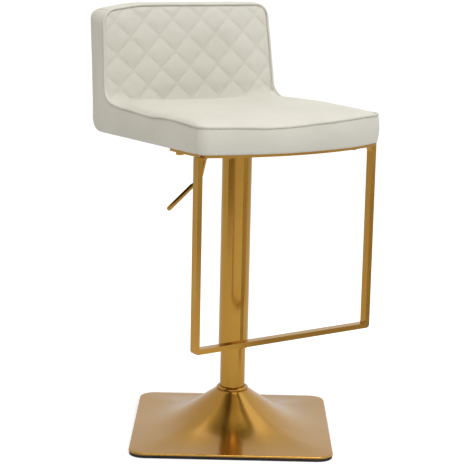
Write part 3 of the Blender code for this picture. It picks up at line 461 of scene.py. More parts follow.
def right_border():
    """Piping line, outer line and outward direction, from the front's middle to the top's."""
    piping, outer, outward = [], [], []

    def add(p, q, n):
        piping.append(p)
        outer.append(q)
        outward.append(n)

    centre_y = FRONT + FRONT_RADIUS
    corner_x = HALF - FRONT_CORNER
    corner_y = centre_y - math.sqrt((FRONT_RADIUS - FRONT_CORNER) ** 2 - corner_x ** 2)
    tangent = math.atan2(corner_y - centre_y, corner_x)
    front = np.linspace(-math.pi / 2, tangent, 40, endpoint=False)
    corner = np.linspace(tangent, 0, 12)
    for x, y, radius, angles in ((0, centre_y, FRONT_RADIUS, front),
                                 (corner_x, corner_y, FRONT_CORNER, corner)):
        for a in angles:
            n = (math.cos(a), math.sin(a), 0.0)
            p = (x + radius * n[0], y + radius * n[1])
            add((*p, EDGE), (*p, UNDER), n)
    for y in np.linspace(corner_y, FAN_START, 40)[1:]:
        add((HALF, y, EDGE), (HALF, y, UNDER), (1, 0, 0))
    foot = leaning(HALF - SWEEP_TOP * SLOPE, PIPING_DEPTH, SWEEP_TOP)
    bend = leaning(HALF, PIPING_DEPTH, 0.010)
    start = (HALF, foot[1] - SWEEP, EDGE)
    ahead = (HALF, foot[1] - SWEEP * 0.45, EDGE + 0.001)
    curve = np.vstack(([(HALF, FAN_START, EDGE)], bezier((start, ahead, bend, foot), 40)))
    heel = [(HALF, REAR - HEEL + HEEL * math.sin(a), UNDER + HEEL - HEEL * math.cos(a))
            for a in np.linspace(0, math.pi / 2, 16)]
    hull = np.array([(HALF, FAN_START, UNDER)] + heel
                    + [leaning(HALF, 0, 0), leaning(HALF - SWEEP_TOP * SLOPE, 0, SWEEP_TOP)])
    for p, q in zip(resample(curve, 60)[1:], resample(hull, 60)[1:]):
        add(tuple(p), tuple(q), (1, 0, 0))
    for height in np.linspace(SWEEP_TOP, CORNER_Z, 30)[1:]:
        x = HALF - SLOPE * height
        add(leaning(x, PIPING_DEPTH, height), leaning(x, 0, height), (1, 0, 0))
    for a in np.linspace(0, math.pi / 2, 20)[1:]:
        n = (math.cos(a), 0.0, math.sin(a))
        x, height = CORNER_X + TOP_CORNER * n[0], CORNER_Z + TOP_CORNER * n[2]
        rear_x, rear_height = squarer(a, TOP_CORNER)
        add(leaning(x, PIPING_DEPTH, height), leaning(rear_x, 0, rear_height), n)
    for x in np.linspace(CORNER_X, 0, 40)[1:]:
        add(leaning(x, PIPING_DEPTH, BACK_HEIGHT), leaning(x, 0, BACK_HEIGHT), (0, 0, 1))
    return np.array(piping), np.array(outer), np.array(outward)


def droop(points):
    """Let the upper left corner hang a little, as soft foam does."""
    height = points[:, 2] - BACK_BOTTOM
    share = step(-points[:, 0], 0.100, 0.205) * step(height, 0.07, BACK_HEIGHT - 0.008)
    points = points.copy()
    points[:, 2] -= DROOP * share * (0.80 + 0.20 * step(points[:, 1], 0.19, 0.24))
    return points


def whole_border():
    """The right border followed by its mirror image back to the front's middle."""
    piping, outer, outward = (np.vstack((right, right[::-1][1:] * (-1, 1, 1)))
                              for right in right_border())
    return droop(piping), droop(outer), outward


PIPING, OUTER, OUTWARD = whole_border()
PLACE = along(PIPING)
TOTAL = PLACE[-1]


def wave(points):
    """The border line with the slow rise and fall of a soft edge."""
    back = np.where(points[:, 2] < BACK_BOTTOM + SWEEP_TOP, 0.0, 1.0)
    knots = []
    for x, y, lift in WAVES:
        off = np.hypot(points[:, 0] - x, points[:, 1] - y) + back
        knots.append((PLACE[int(np.argmin(off))], lift))
    knots.sort()
    places, lifts = (np.array(column) for column in zip(*knots))
    offsets = np.linspace(-0.022, 0.022, 23)    # rounds the bends between the knots
    total = sum(np.interp(PLACE + offset, places, lifts, period=TOTAL) for offset in offsets)
    points = points.copy()
    points[:, 2] += total / len(offsets) * (1 - back)
    return points


PIPING = wave(PIPING)


def border_at(places):
    """Piping point, outer point and outward direction at distances along the piping."""
    places = np.mod(places, TOTAL)
    return [np.stack([np.interp(places, PLACE, line[:, k]) for k in range(3)], axis=1)
            for line in (PIPING, OUTER, OUTWARD)]


def place_near(test):
    """The place on the right half of the border where test is smallest."""
    half = PLACE <= TOTAL / 2
    return float(PLACE[half][np.argmin(test(PIPING[half]))])


FRONT_SEAM = place_near(lambda p: np.abs(p[:, 1] - FRONT_SEAM_Y) + (p[:, 0] < HALF - 0.001))
CREASE = place_near(lambda p: np.abs(p[:, 2] - CREASE_END))
TOP_SEAM = place_near(lambda p: np.abs(p[:, 0] - CORNER_X - (p[:, 2] - (BACK_BOTTOM + CORNER_Z)))
                      + (p[:, 2] < BACK_BOTTOM + CORNER_Z + 0.004))


# ======== boxing, piping and rear ========

def boxing_rows(length):
    """The band's section: how far outward, and how far from the piping, row by row."""
    rows = [(out, np.full(len(length), down)) for out, down in
            ((-0.0060, 0.0020), (-0.0036, 0.0021), (-0.0020, 0.0026), (-0.0007, 0.0040))]
    for share in np.linspace(0.0, 1, 15)[:-1]:
        rows.append((BOXING_BULGE * math.sin(math.pi * share) ** 0.8,
                     BOXING_TOP + (length - BOXING_TOP - BOXING_ROUND) * share))
    for a in np.linspace(0, math.pi / 2, 6):
        rows.append((-BOXING_ROUND * (1 - math.cos(a)), length - BOXING_ROUND * (1 - math.sin(a))))
    return rows + [(-BOXING_ROUND - depth, length) for depth in (0.006, 0.012)]


def make_boxing(name, start, end):
    """One leather strip between the piping and the outer edge, with its ends sewn in."""
    near_end = np.array([0.0, 0.0006, 0.0013, 0.0023, 0.0038, 0.0060])
    count = max(int((end - start) / 0.006), 12)
    places = np.concatenate((start + near_end, np.linspace(start + 0.010, end - 0.010, count),
                             end - near_end[::-1]))
    piping, outer, outward = border_at(places)
    from_end = np.minimum(places - start, end - places)
    sunk = 0.0019 * np.exp(-(from_end / 0.0016) ** 1.3)
    span = outer - piping
    length = np.linalg.norm(span, axis=1)
    direction = span / length[:, None]
    outward = outward / np.linalg.norm(outward, axis=1)[:, None]
    grid = []
    for index, (out, away) in enumerate(boxing_rows(length)):
        ease = 1.0 if index > 2 else 0.4
        row = piping + direction * away[:, None] + outward * (out - sunk * ease)[:, None]
        grid.append(soften(row, outward))
    return sheet_mesh(name, grid, IVORY)


def soften(row, outward):
    """Small uneven swells, as stretched leather over foam has."""
    swell = np.array([noise.noise(Vector(p) * 14.0) + 0.5 * noise.noise(Vector(p) * 38.0)
                      for p in row])
    return row + outward * (0.0007 * swell)[:, None]


# A stitch's rings: share of its length, size, lift in radii
STITCH_SECTION = ((0.0, 0.25, -0.9), (0.2, 0.9, 0.1), (0.5, 1.0, 0.45), (0.8, 0.9, 0.1),
                  (1.0, 0.25, -0.9))
STITCH_SIDES = 6


def stitch_line(store, points, outward, pitch=0.0036, length=0.0025, radius=0.00034):
    """Add sewn stitches along a line to the store, each half sunk in the leather."""
    places = along(points)
    for place in np.arange(pitch, places[-1] - pitch / 2, pitch):
        first, last = (np.array([np.interp(place + side, places, points[:, k]) for k in range(3)])
                       for side in (-length / 2, length / 2))
        n = np.array([np.interp(place, places, outward[:, k]) for k in range(3)])
        n /= np.linalg.norm(n)
        across = np.cross(n, last - first)
        across /= np.linalg.norm(across)
        base = len(store[0])
        for share, size, lift in STITCH_SECTION:
            middle = first + (last - first) * share + n * radius * lift
            for a in range(STITCH_SIDES):
                turn = 2 * math.pi * a / STITCH_SIDES
                store[0].append(middle + (n * math.cos(turn) + across * math.sin(turn))
                                * radius * size)
        for ring in range(len(STITCH_SECTION) - 1):
            low = base + ring * STITCH_SIDES
            for i in range(STITCH_SIDES):
                j = (i + 1) % STITCH_SIDES
                store[1].append((low + i, low + j, low + STITCH_SIDES + j, low + STITCH_SIDES + i))
        end = base + (len(STITCH_SECTION) - 1) * STITCH_SIDES
        store[1].append(tuple(base + i for i in reversed(range(STITCH_SIDES))))
        store[1].append(tuple(end + i for i in range(STITCH_SIDES)))


def sewn(name, store):
    """One object from all the stitches in the store."""
    mesh = bpy.data.meshes.new(name)
    mesh.from_pydata(store[0], [], store[1])
    mesh.materials.append(THREAD)
    mesh.shade_smooth()
    return linked(name, mesh)


def seam_stitches():
    """Topstitching on both sides of the four boxing seams."""
    shares = np.linspace(0.09, 0.93, 24)
    bulge = BOXING_BULGE * np.sin(math.pi * shares) ** 0.8
    store = ([], [])
    for seam in (FRONT_SEAM, TOP_SEAM, TOTAL - TOP_SEAM, TOTAL - FRONT_SEAM):
        for side in (-0.0050, 0.0050):
            p, q, n = (line[0] for line in border_at(np.array([seam + side])))
            line = p + (q - p) * shares[:, None] + n * (bulge - 0.0002)[:, None]
            stitch_line(store, line, np.tile(n, (len(line), 1)))
    return sewn("boxing_stitches", store)


def make_piping():
    """The cord in its leather, once round, and never quite straight."""
    points = PIPING - OUTWARD * 0.0004
    places = np.linspace(0, TOTAL, 560, endpoint=False)
    curve = bpy.data.curves.new("piping_cord", "CURVE")
    curve.dimensions = "3D"
    curve.bevel_depth = PIPING_RADIUS
    curve.bevel_resolution = 4
    spline = curve.splines.new("POLY")
    spline.points.add(len(places) - 1)
    for index, place in enumerate(places):
        co = Vector([np.interp(place, PLACE, points[:, k]) for k in range(3)])
        wander = Vector([noise.noise(co * 30 + Vector(shift))
                         for shift in ((0, 0, 0), (7, 0, 0), (0, 9, 0))]) * 0.0005
        spline.points[index].co = (*(co + wander), 1.0)
        spline.points[index].radius = 1.0 + 0.05 * noise.noise(co * 90)
    spline.use_cyclic_u = True
    obj = linked("piping_cord", curve)
    graph = bpy.context.evaluated_depsgraph_get()
    mesh = bpy.data.meshes.new_from_object(obj.evaluated_get(graph))
    bpy.data.objects.remove(obj, do_unlink=True)
    mesh.materials.clear()
    mesh.materials.append(IVORY)
    mesh.shade_smooth()
    return linked("piping_cord", mesh)


def rear_borders():
    """The rear panel's four borders, inside the boxing's turned edge."""
    radius = TOP_CORNER - REAR_INSET
    top = BACK_HEIGHT - REAR_INSET
    side_x = HALF - REAR_INSET
    out = 0.0007
    side = [(side_x, REAR - HEEL - 0.016, UNDER - 0.0002)]
    side += [(side_x, REAR - HEEL + (HEEL + out) * math.sin(a),
              UNDER + HEEL - (HEEL + out * 0.5) * math.cos(a))
             for a in np.linspace(0, math.pi / 2, 14)]
    for height in np.linspace(0, CORNER_Z, 20):
        side.append(leaning(side_x - SLOPE * height, -out, height))
    corner = []
    for a in np.linspace(0, math.pi / 2, 13):
        x, z = squarer(a, radius)
        corner.append(leaning(x, -out, z))
    right = np.array(side + corner[1:7])
    over = corner[6:] + [leaning(x, -out, top) for x in np.linspace(CORNER_X, 0, 12)[1:]]
    high = np.array([(-x, y, z) for x, y, z in over] + over[::-1][1:])
    left = right * (-1, 1, 1)
    low = np.linspace(left[0], right[0], 30)
    return low, high, left, right


def make_rear_panel():
    """The rear of the back and seat in one piece of leather, round the heel to the underside."""
    low, high, left, right = (droop(line) for line in rear_borders())
    across, up = 81, 72
    grid = coons(low, high, left, right, across, up)
    u = np.linspace(0, 1, across)[None, :]
    v = np.linspace(0, 1, up)[:, None]
    from_edge = np.minimum(np.minimum(u, 1 - u) * 2 * HALF, (1 - v) * along(right)[-1])
    swell = 0.0030 * step(from_edge, 0.0, 0.075) * step(v, 0.10, 0.35)
    for i in range(up):
        if v[i, 0] <= 0.1:
            continue
        for j in range(across):
            point = Vector(grid[i, j])
            soft = 0.0006 * noise.noise(point * 12.0) + 0.00025 * noise.noise(point * 40.0)
            grid[i, j, 1] += swell[i, j] + soft * step(from_edge[i, j], 0, 0.02)
    tuck = 0.0010 * np.exp(-(from_edge / 0.0025) ** 2)
    grid[:, :, 1] -= tuck * (v > 0.16)
    panel = sheet_mesh("rear_panel", grid[::-1], IVORY)
    path = np.vstack((left, high[1:], right[::-1][1:]))
    toward = np.array((0.0, 0.0, BACK_BOTTOM + BACK_HEIGHT * 0.35)) - path
    toward[:, 1] = 0
    toward /= np.linalg.norm(toward, axis=1)[:, None]
    line = path + toward * 0.0042 + (0, 0.0005, 0)
    kept = line[:, 2] > UNDER + HEEL * 0.8
    store = ([], [])
    stitch_line(store, resample(line[kept], 300), np.tile((0.0, 1.0, 0.0), (300, 1)))
    return panel, sewn("rear_stitches", store)


# ======== cushions ========

def closed_cushion(name, grid, into, depth):
    """A solid with the grid on top, sides that go into the body, and the same grid beneath."""
    grid = np.asarray(grid, float)
    into = np.array(into)
    middle = grid.mean(axis=(0, 1))
    bm = bmesh.new()
    rows = [[bm.verts.new(point) for point in row] for row in grid]
    sunk = grid + into * depth
    inward = middle - grid
    inward -= into * (inward @ into)[..., None]
    inward /= np.maximum(np.linalg.norm(inward, axis=2), 1e-6)[..., None]
    under = [[bm.verts.new(point) for point in row] for row in sunk + inward * 0.0012]
    for sheet in (rows, under):
        for low, high in zip(sheet, sheet[1:]):
            for i in range(len(low) - 1):
                bm.faces.new((low[i], low[i + 1], high[i + 1], high[i]))

    def rim(sheet):
        """The sheet's outermost points, once round."""
        return (sheet[0] + [row[-1] for row in sheet[1:]] + sheet[-1][-2::-1]
                + [row[0] for row in sheet[-2:0:-1]])

    loops = [rim(rows)]
    last = rim(under)
    for share in (0.12, 0.5):
        loops.append([bm.verts.new(top.co.lerp(low.co, share))
                      for top, low in zip(loops[0], last)])
    loops.append(last)
    for upper, lower in zip(loops, loops[1:]):
        for i in range(len(upper)):
            j = (i + 1) % len(upper)
            bm.faces.new((upper[i], upper[j], lower[j], lower[i]))
    bmesh.ops.recalc_face_normals(bm, faces=bm.faces)
    return new_mesh(name, bm, IVORY)


def inflate(obj, free, pressure, cap):
    """Swell the padding with a cloth simulation. free is how far each point may follow it."""
    start = read_rows(obj.data.vertices, "co")
    pins = obj.vertex_groups.new(name="held")
    for index, share in enumerate(free):
        pins.add([index], 1.0 if share < 0.5 else 0.0, "REPLACE")
    settings = obj.modifiers.new("padding", "CLOTH").settings
    for name, value in (("quality", 6), ("mass", 0.25), ("tension_stiffness", 12),
                        ("compression_stiffness", 12), ("shear_stiffness", 4),
                        ("bending_stiffness", 0.6), ("vertex_group_mass", "held"),
                        ("use_pressure", True), ("uniform_pressure_force", pressure)):
        setattr(settings, name, value)
    settings.effector_weights.gravity = 0.0
    scene = bpy.context.scene
    for number in range(1, 21):
        scene.frame_set(number)
    graph = bpy.context.evaluated_depsgraph_get()
    swollen = obj.evaluated_get(graph).to_mesh()
    shift = read_rows(swollen.vertices, "co") - start
    obj.modifiers.clear()
    obj.vertex_groups.clear()
    scene.frame_set(1)
    size = np.linalg.norm(shift, axis=1)
    shift *= (np.minimum(size, cap) / np.maximum(size, 1e-9))[:, None]
    set_points(obj, start + shift * np.asarray(free)[:, None])


def crease_line(count, lower=0.0):
    """The fold between seat and back, left to right."""
    end, _, _ = border_at(np.array([CREASE]))
    x = np.linspace(-1, 1, count)
    rise = np.abs(x) ** 2.2
    y = end[0, 1] + 0.0045 * (1 - np.abs(x) ** 4)
    z = CREASE_MIDDLE + (CREASE_END - CREASE_MIDDLE) * rise
    return np.stack((x * (end[0, 0] - 0.0012), y, z - lower), axis=1)


def border_run(start, end, count, inset=0.0026):
    """Points along the piping, a little inside it."""
    piping, _, outward = border_at(np.linspace(start, end, count))
    return piping - outward * inset


def make_seat_cushion():
    """The crowned top of the seat, plump inside its piping."""
    across, up = 53, 61
    low = border_run(TOTAL - FRONT_SEAM, TOTAL + FRONT_SEAM, 120)
    right = border_run(FRONT_SEAM, CREASE, 160)
    left = border_run(TOTAL - FRONT_SEAM, TOTAL - CREASE, 160)
    crease = crease_line(across)
    grid = coons(low, crease, left, right, across, up)
    u = np.linspace(0, 1, across)[None, :]
    v = np.linspace(0, 1, up)[:, None]
    left_z, right_z = (resample(line, up)[:, 2:] for line in (left, right))
    front_z = resample(low, across)[:, 2]
    sides = (1 - u) * left_z + u * right_z
    front = front_z - ((1 - u) * left_z[0] + u * right_z[0])
    rear = crease[:, 2] - CREASE_END
    grid[:, :, 2] = sides + front * (1 - v) ** 3 + rear * step(v, 0.80, 1.0) - 0.0004
    from_side = np.minimum(u, 1 - u) * 2 * HALF
    from_front = np.broadcast_to(v * SEAT_DEPTH, (up, across))
    roll = ((1 - (1 - np.clip(from_side / SEAT_ROLL_SIDE, 0, 1)) ** 2.5)
            * (1 - (1 - np.clip(from_front / SEAT_ROLL_FRONT, 0, 1)) ** 2.5))
    crown = SEAT_CROWN_FRONT + (SEAT_CROWN_REAR - SEAT_CROWN_FRONT) * step(v, 0.05, 0.50)
    sag = SEAT_SAG * np.exp(-((u - 0.5) / 0.22) ** 2) * np.exp(-((v - 0.62) / 0.25) ** 2)
    ease = 1 - 0.80 * step(v, 0.80, 0.98)
    tuck = SEAT_TUCK * step(v, 0.955, 1.0)
    grid[:, :, 2] += crown * roll * ease - sag - tuck * step(from_side, 0.0, 0.02)
    grid[-1, :, 1] += 0.004
    cushion = closed_cushion("seat_cushion", grid, (0, 0, -1), 0.030)
    free = np.zeros(len(cushion.data.vertices))
    share = (step(from_side, 0.004, 0.030) * step(from_front, 0.004, 0.030)
             * (1 - step(v, 0.90, 0.99)))
    free[:across * up] = share.ravel()
    inflate(cushion, free, 1.2, 0.0030)
    points, normals = subdivided(cushion, 2)
    inside = step(normals[:, 2], 0.6, 0.9) * (points[:, 2] > EDGE - 0.001)
    set_points(cushion, points + normals * (seat_wrinkles(points) * inside)[:, None])
    return cushion


def uneven(points, *layers):
    """A slow unevenness: the sum of layers of noise, each an amount and a scale."""
    return np.array([sum(amount * noise.noise(Vector(p) * scale) for amount, scale in layers)
                     for p in points])


def ridge(points, start, end, width, height):
    """A soft crease in plan from start to end."""
    a, b = np.array(start), np.array(end)
    d = b - a
    t = np.clip(((points[:, :2] - a) @ d) / (d @ d), 0, 1)
    off = np.linalg.norm(points[:, :2] - a - t[:, None] * d, axis=1)
    return height * np.exp(-(off / width) ** 2) * np.sin(math.pi * np.clip(t, 0.02, 0.98))


def seat_wrinkles(points):
    """Pulls in the leather near the rear corners and a slow unevenness elsewhere."""
    total = uneven(points, (0.0010, 9.0), (0.00035, 28.0))
    for start, end, width, height in (
            ((0.155, 0.150), (0.090, 0.060), 0.0060, 0.0011),
            ((0.180, 0.135), (0.130, 0.035), 0.0055, -0.0010),
            ((0.120, 0.155), (0.060, 0.085), 0.0065, -0.0009),
            ((-0.165, 0.145), (-0.105, 0.055), 0.0060, 0.0009),
            ((-0.130, 0.155), (-0.075, 0.090), 0.0060, -0.0008),
            ((0.150, 0.000), (0.185, -0.070), 0.0060, 0.0007)):
        total += ridge(points, start, end, width, height)
    return total


def quilt_lattice(points):
    """Each point's place in the diamond lattice, in diamonds along both diagonals."""
    x = points[:, 0] - QUILT_X
    z = points[:, 2] - QUILT_Z - QUILT_TILT * x
    x = x + QUILT_SKEW * z
    return x / QUILT_WIDTH + z / QUILT_HEIGHT, x / QUILT_WIDTH - z / QUILT_HEIGHT


def quilt_height(points):
    """Diamonds that stand proud between sewn lines."""
    total = np.ones(len(points))
    for diagonal in quilt_lattice(points):
        off = np.abs(diagonal - np.round(diagonal)) * 2
        total *= (1 - (1 - off) ** 2.3) ** 0.62
    return QUILT_RISE * total


def make_back_cushion():
    """The back's inner face: padded diamonds inside the piping."""
    across, up = 61, 33
    low = crease_line(120, lower=0.010)
    low[:, 1] += 0.001
    right = border_run(CREASE - 0.004, TOP_SEAM, 120)
    left = border_run(TOTAL - CREASE + 0.004, TOTAL - TOP_SEAM, 120)
    high = border_run(TOTAL - TOP_SEAM, TOP_SEAM, 200)
    low[0], low[-1] = left[0], right[0]
    grid = coons(low, high, left, right, across, up)
    u = np.linspace(0, 1, across)[None, :]
    v = np.linspace(0, 1, up)[:, None]
    from_edge_x = np.minimum(u, 1 - u) * 2 * HALF
    from_top = (1 - v) * BACK_HEIGHT
    out = np.array((0.0, -1.0, LEAN)) / math.hypot(1, LEAN)
    roll = ((1 - (1 - np.clip(from_edge_x / 0.050, 0, 1)) ** 2.4)
            * (1 - (1 - np.clip(from_top / 0.045, 0, 1)) ** 2.4))
    grid += out * (BACK_CROWN * roll)[:, :, None]
    cushion = closed_cushion("back_cushion", grid, -out, 0.022)
    free = np.zeros(len(cushion.data.vertices))
    share = step(from_edge_x, 0.004, 0.028) * step(from_top, 0.004, 0.028) * step(v, 0.02, 0.10)
    free[:across * up] = share.ravel()
    inflate(cushion, free, 0.9, 0.0020)
    points, normals = subdivided(cushion, 2)
    facing = step(-normals[:, 1], 0.75, 0.93)
    soft = uneven(points, (0.0006, 16.0), (0.0003, 60.0))
    lift = (quilt_height(points) - QUILT_RISE * 0.45 + soft) * facing * border_fade(points)
    set_points(cushion, points + normals * lift[:, None])
    return cushion


def border_fade(points):
    """0 at the piping, 1 a centimetre inside it."""
    height = points[:, 2] - BACK_BOTTOM
    side = HALF - SLOPE * height - np.abs(points[:, 0])
    top = BACK_HEIGHT - height
    return step(np.minimum(side, top), 0.002, 0.013)


def quilt_seam_z(x, number, family):
    """Height of one sewn diagonal at x. family is 1 for falling seams, -1 for rising ones."""
    across = x - QUILT_X
    rise = (number - across / QUILT_WIDTH) * QUILT_HEIGHT * family
    for _ in range(3):
        rise = (number - (across + QUILT_SKEW * rise) / QUILT_WIDTH) * QUILT_HEIGHT * family
    return QUILT_Z + rise + QUILT_TILT * across


def quilt_stitches(cushion):
    """Thread along the sewn diamonds, laid on the finished face."""
    solid = cushion.evaluated_get(bpy.context.evaluated_depsgraph_get())
    store = ([], [])
    out = Vector((0.0, -1.0, LEAN)).normalized()
    for family in (1, -1):
        for number in range(-6, 7):
            line = []
            for x in np.arange(-HALF, HALF, 0.003):
                height = quilt_seam_z(x, number, family) - BACK_BOTTOM
                side = HALF - SLOPE * height - abs(x)
                if not 0.006 < height < BACK_HEIGHT - 0.006 or side < 0.006:
                    continue
                origin = Vector(leaning(x, BACK_THICK + 0.030, height))
                hit, point, _, _ = solid.ray_cast(origin, -out)
                if hit:
                    line.append(point)
            if len(line) > 6:
                facing = np.tile(out, (len(line), 1))
                stitch_line(store, np.array(line), facing, 0.0042, 0.0029, 0.0003)
    return sewn("quilt_stitches", store)


# ======== underside and base ========

def make_dust_sheet():
    """Thin cloth tacked under the seat, a little slack between its tacks."""
    inset = 0.0095
    low = border_run(TOTAL - FRONT_SEAM, TOTAL + FRONT_SEAM, 90, inset)
    rear_y = REAR - HEEL - 0.004
    side = HALF - inset
    right = np.array([low[-1], (side, low[-1][1] + 0.02, 0), (side, rear_y, 0)])
    left = right * (-1, 1, 1)
    left[0] = low[0]
    high = np.array([left[-1], right[-1]])
    for line in (low, high, left, right):
        line[:, 2] = 0
    across, up = 60, 60
    grid = coons(low, high, left, right, across, up)
    for i in range(up):
        for j in range(across):
            from_edge = min(i, up - 1 - i, j, across - 1 - j) / 6
            slack = 0.5 + 0.5 * noise.noise(Vector((grid[i, j, 0] * 22, grid[i, j, 1] * 22, 3.0)))
            grid[i, j, 2] = UNDER - 0.00015 + 0.0004 * slack * min(from_edge, 1.0)
    return sheet_mesh("dust_sheet", grid, FINISHES["dust_cloth"], 0.0003)


def pressing_profile(share):
    """Radius and height of the pressing at mid-side, from the neck to the rim."""
    controls = ((NECK_OUTER, NECK_TOP - 0.0006), (0.105, 0.035), (0.125, RIM_TOP + 0.0042),
                (BASE_SIDE / 2 - RIM_ROUND, RIM_TOP))
    weights = ((1 - share) ** 3, 3 * share * (1 - share) ** 2,
               3 * share ** 2 * (1 - share), share ** 3)
    return tuple(sum(w * c[k] for w, c in zip(weights, controls)) for k in (0, 1))


def square_outline(half, corner, side_steps=22, corner_steps=14):
    """A rounded square's points, counter-clockwise."""
    c = half - corner
    points = []
    for quarter in range(4):
        turn = Matrix.Rotation(math.radians(90 * quarter), 2)
        side = [(half, -c + 2 * c * i / side_steps) for i in range(1, side_steps)]
        bend = [(c + corner * math.cos(a), c + corner * math.sin(a))
                for a in np.linspace(0, math.pi / 2, corner_steps + 1)]
        points += [turn @ Vector(p) for p in side + bend]
    return points


def make_base_pressing():
    """The base's sheet metal at full smoothness: neck, flare, square rim."""
    mid = BASE_SIDE / 2 - RIM_ROUND
    inner = square_outline(mid, BASE_CORNER - RIM_ROUND)
    outer = square_outline(BASE_SIDE / 2, BASE_CORNER)
    neck = ((THROAT, NECK_TOP), (NECK_OUTER - 0.0012, NECK_TOP),
            (NECK_OUTER - 0.0003, NECK_TOP - 0.0002))
    rings = [[(*(p.normalized() * radius), z) for p in inner] for radius, z in neck]
    for share in np.linspace(0, 1, 46):
        radius, z = pressing_profile(share)
        spread = ((radius - NECK_OUTER) / (mid - NECK_OUTER)) ** 2
        reach = [radius * (p.length * spread + mid * (1 - spread)) / mid for p in inner]
        rings.append([(*(p.normalized() * r), z) for p, r in zip(inner, reach)])
    for a in np.linspace(0, math.pi / 2, 7)[1:]:
        ring = [p.lerp(q, math.sin(a)) for p, q in zip(inner, outer)]
        rings.append([(*p, RIM_TOP - RIM_ROUND * (1 - math.cos(a))) for p in ring])
    rings.append([(*q, RIM_BOTTOM) for q in outer])
    obj = sheet_mesh("base_pressing", rings[::-1], GOLD_BASE, SHEET, closed=True)
    obj.data.transform(Matrix.Rotation(BASE_TURN, 4, "Z"))
    return obj


# ======== stage, light and camera ========

def card(name, corners, glow, faces=None):
    """A glowing or dark panel of the studio."""
    mesh = bpy.data.meshes.new(name)
    mesh.from_pydata(corners, [], faces or [tuple(range(len(corners)))])
    material = bpy.data.materials.new(name)
    material.use_nodes = True
    nodes = material.node_tree.nodes
    nodes.remove(nodes["Principled BSDF"])
    emission = nodes.new("ShaderNodeEmission")
    emission.inputs["Color"].default_value = (*glow, 1)
    material.node_tree.links.new(emission.outputs[0], nodes["Material Output"].inputs["Surface"])
    mesh.materials.append(material)
    obj = linked(name, mesh)
    return obj


def hide_from(obj, *rays):
    """Keep obj out of what these kinds of ray see."""
    for ray in rays:
        setattr(obj, "visible_" + ray, False)


def make_stage():
    """The floor, and a white backdrop all round that lights nothing."""
    bpy.ops.mesh.primitive_plane_add(size=30, location=(0, 0, 0))
    floor = bpy.context.object
    floor.name = "floor"
    n = Nodes("pale_floor")
    n.set(Roughness=0.8, Specular_IOR_Level=0.1)
    tone = n.blend(n.noise(3.0), (0.74, 0.745, 0.755), (0.76, 0.765, 0.775))
    floor.data.materials.append(n.finish(tone))
    corners = [(x * STAGE, y * STAGE, 0.0004) for x, y in ((-1, -1), (1, -1), (1, 1), (-1, 1))]
    glow = card("floor_glow", corners, (1, 1, 1))
    tree = glow.data.materials[0].node_tree
    emission = next(node for node in tree.nodes if node.type == "EMISSION")
    emission.inputs["Strength"].default_value = FLOOR_GLOW
    both = tree.nodes.new("ShaderNodeAddShader")
    tree.links.new(emission.outputs[0], both.inputs[0])
    tree.links.new(tree.nodes.new("ShaderNodeBsdfTransparent").outputs[0], both.inputs[1])
    tree.links.new(both.outputs[0], tree.nodes["Material Output"].inputs["Surface"])
    hide_from(glow, "diffuse", "glossy", "shadow")
    angles = np.linspace(0, 2 * math.pi, BACKDROP_SIDES, endpoint=False)
    around = [(STAGE * math.cos(a), STAGE * math.sin(a), z) for z in (-0.5, 12) for a in angles]
    sides = [(i, (i + 1) % BACKDROP_SIDES, BACKDROP_SIDES + (i + 1) % BACKDROP_SIDES,
              BACKDROP_SIDES + i) for i in range(BACKDROP_SIDES)]
    backdrop = card("backdrop", around, (1.06, 1.06, 1.06), sides)
    hide_from(backdrop, "diffuse", "glossy", "shadow", "transmission", "volume_scatter")


def make_dark_card(name, turn, half_width, distance, low, high, glow):
    """A dim panel off to one side, seen only in reflections."""
    x, y, _ = toward_camera(distance, 0, turn)
    a = math.atan2(x, -y)
    side = Vector((math.cos(a), math.sin(a), 0)) * half_width
    ends = (Vector((x, y, 0)) - side, Vector((x, y, 0)) + side)
    corners = [(*end.xy, z) for end, z in zip(ends + ends[::-1], (low, low, high, high))]
    hide_from(card(name, corners, glow), "camera", "diffuse", "shadow")


def make_dim_floor(name, first, last, near, far, glow):
    """A dim stretch of floor, seen only in reflections."""
    corners = [toward_camera(distance, 0.0006, turn)
               for distance, turn in ((near, first), (far, first), (far, last), (near, last))]
    hide_from(card(name, corners, glow), "camera", "diffuse", "shadow")


def area_light(name, location, target, side, energy):
    """A square lamp that points at target."""
    light = bpy.data.lights.new(name, "AREA")
    light.shape = "SQUARE"
    light.size = side
    light.energy = energy
    lamp = linked(name, light)
    lamp.location = location
    aim = Vector(target) - Vector(location)
    lamp.rotation_euler = aim.to_track_quat("-Z", "Y").to_euler()


def make_world():
    """Even light, a little weaker and warmer from the camera's left."""
    world = bpy.data.worlds.new("studio")
    bpy.context.scene.world = world
    world.use_nodes = True
    tree = world.node_tree
    background = tree.nodes["Background"]
    direction = tree.nodes.new("ShaderNodeTexCoord").outputs["Generated"]
    dot = tree.nodes.new("ShaderNodeVectorMath")
    dot.operation = "DOT_PRODUCT"
    dot.inputs[1].default_value = (0.825, -0.565, 0.0)
    tree.links.new(direction, dot.inputs[0])

    def spread(low, high, first, last):
        """A value from first to last as the direction goes from left to right."""
        node = tree.nodes.new("ShaderNodeMapRange")
        for socket, number in (("From Min", low), ("From Max", high),
                               ("To Min", first), ("To Max", last)):
            node.inputs[socket].default_value = number
        tree.links.new(dot.outputs["Value"], node.inputs["Value"])
        return node.outputs["Result"]

    tree.links.new(spread(-1, 1, 0.62, 1.02), background.inputs["Strength"])
    tint = tree.nodes.new("ShaderNodeMix")
    tint.data_type = "RGBA"
    tint.inputs["A"].default_value = (1.0, 0.945, 0.86, 1)
    tint.inputs["B"].default_value = (1.0, 1.0, 1.0, 1)
    tree.links.new(spread(-0.9, 0.3, 0, 1), tint.inputs["Factor"])
    tree.links.new(tint.outputs["Result"], background.inputs["Color"])


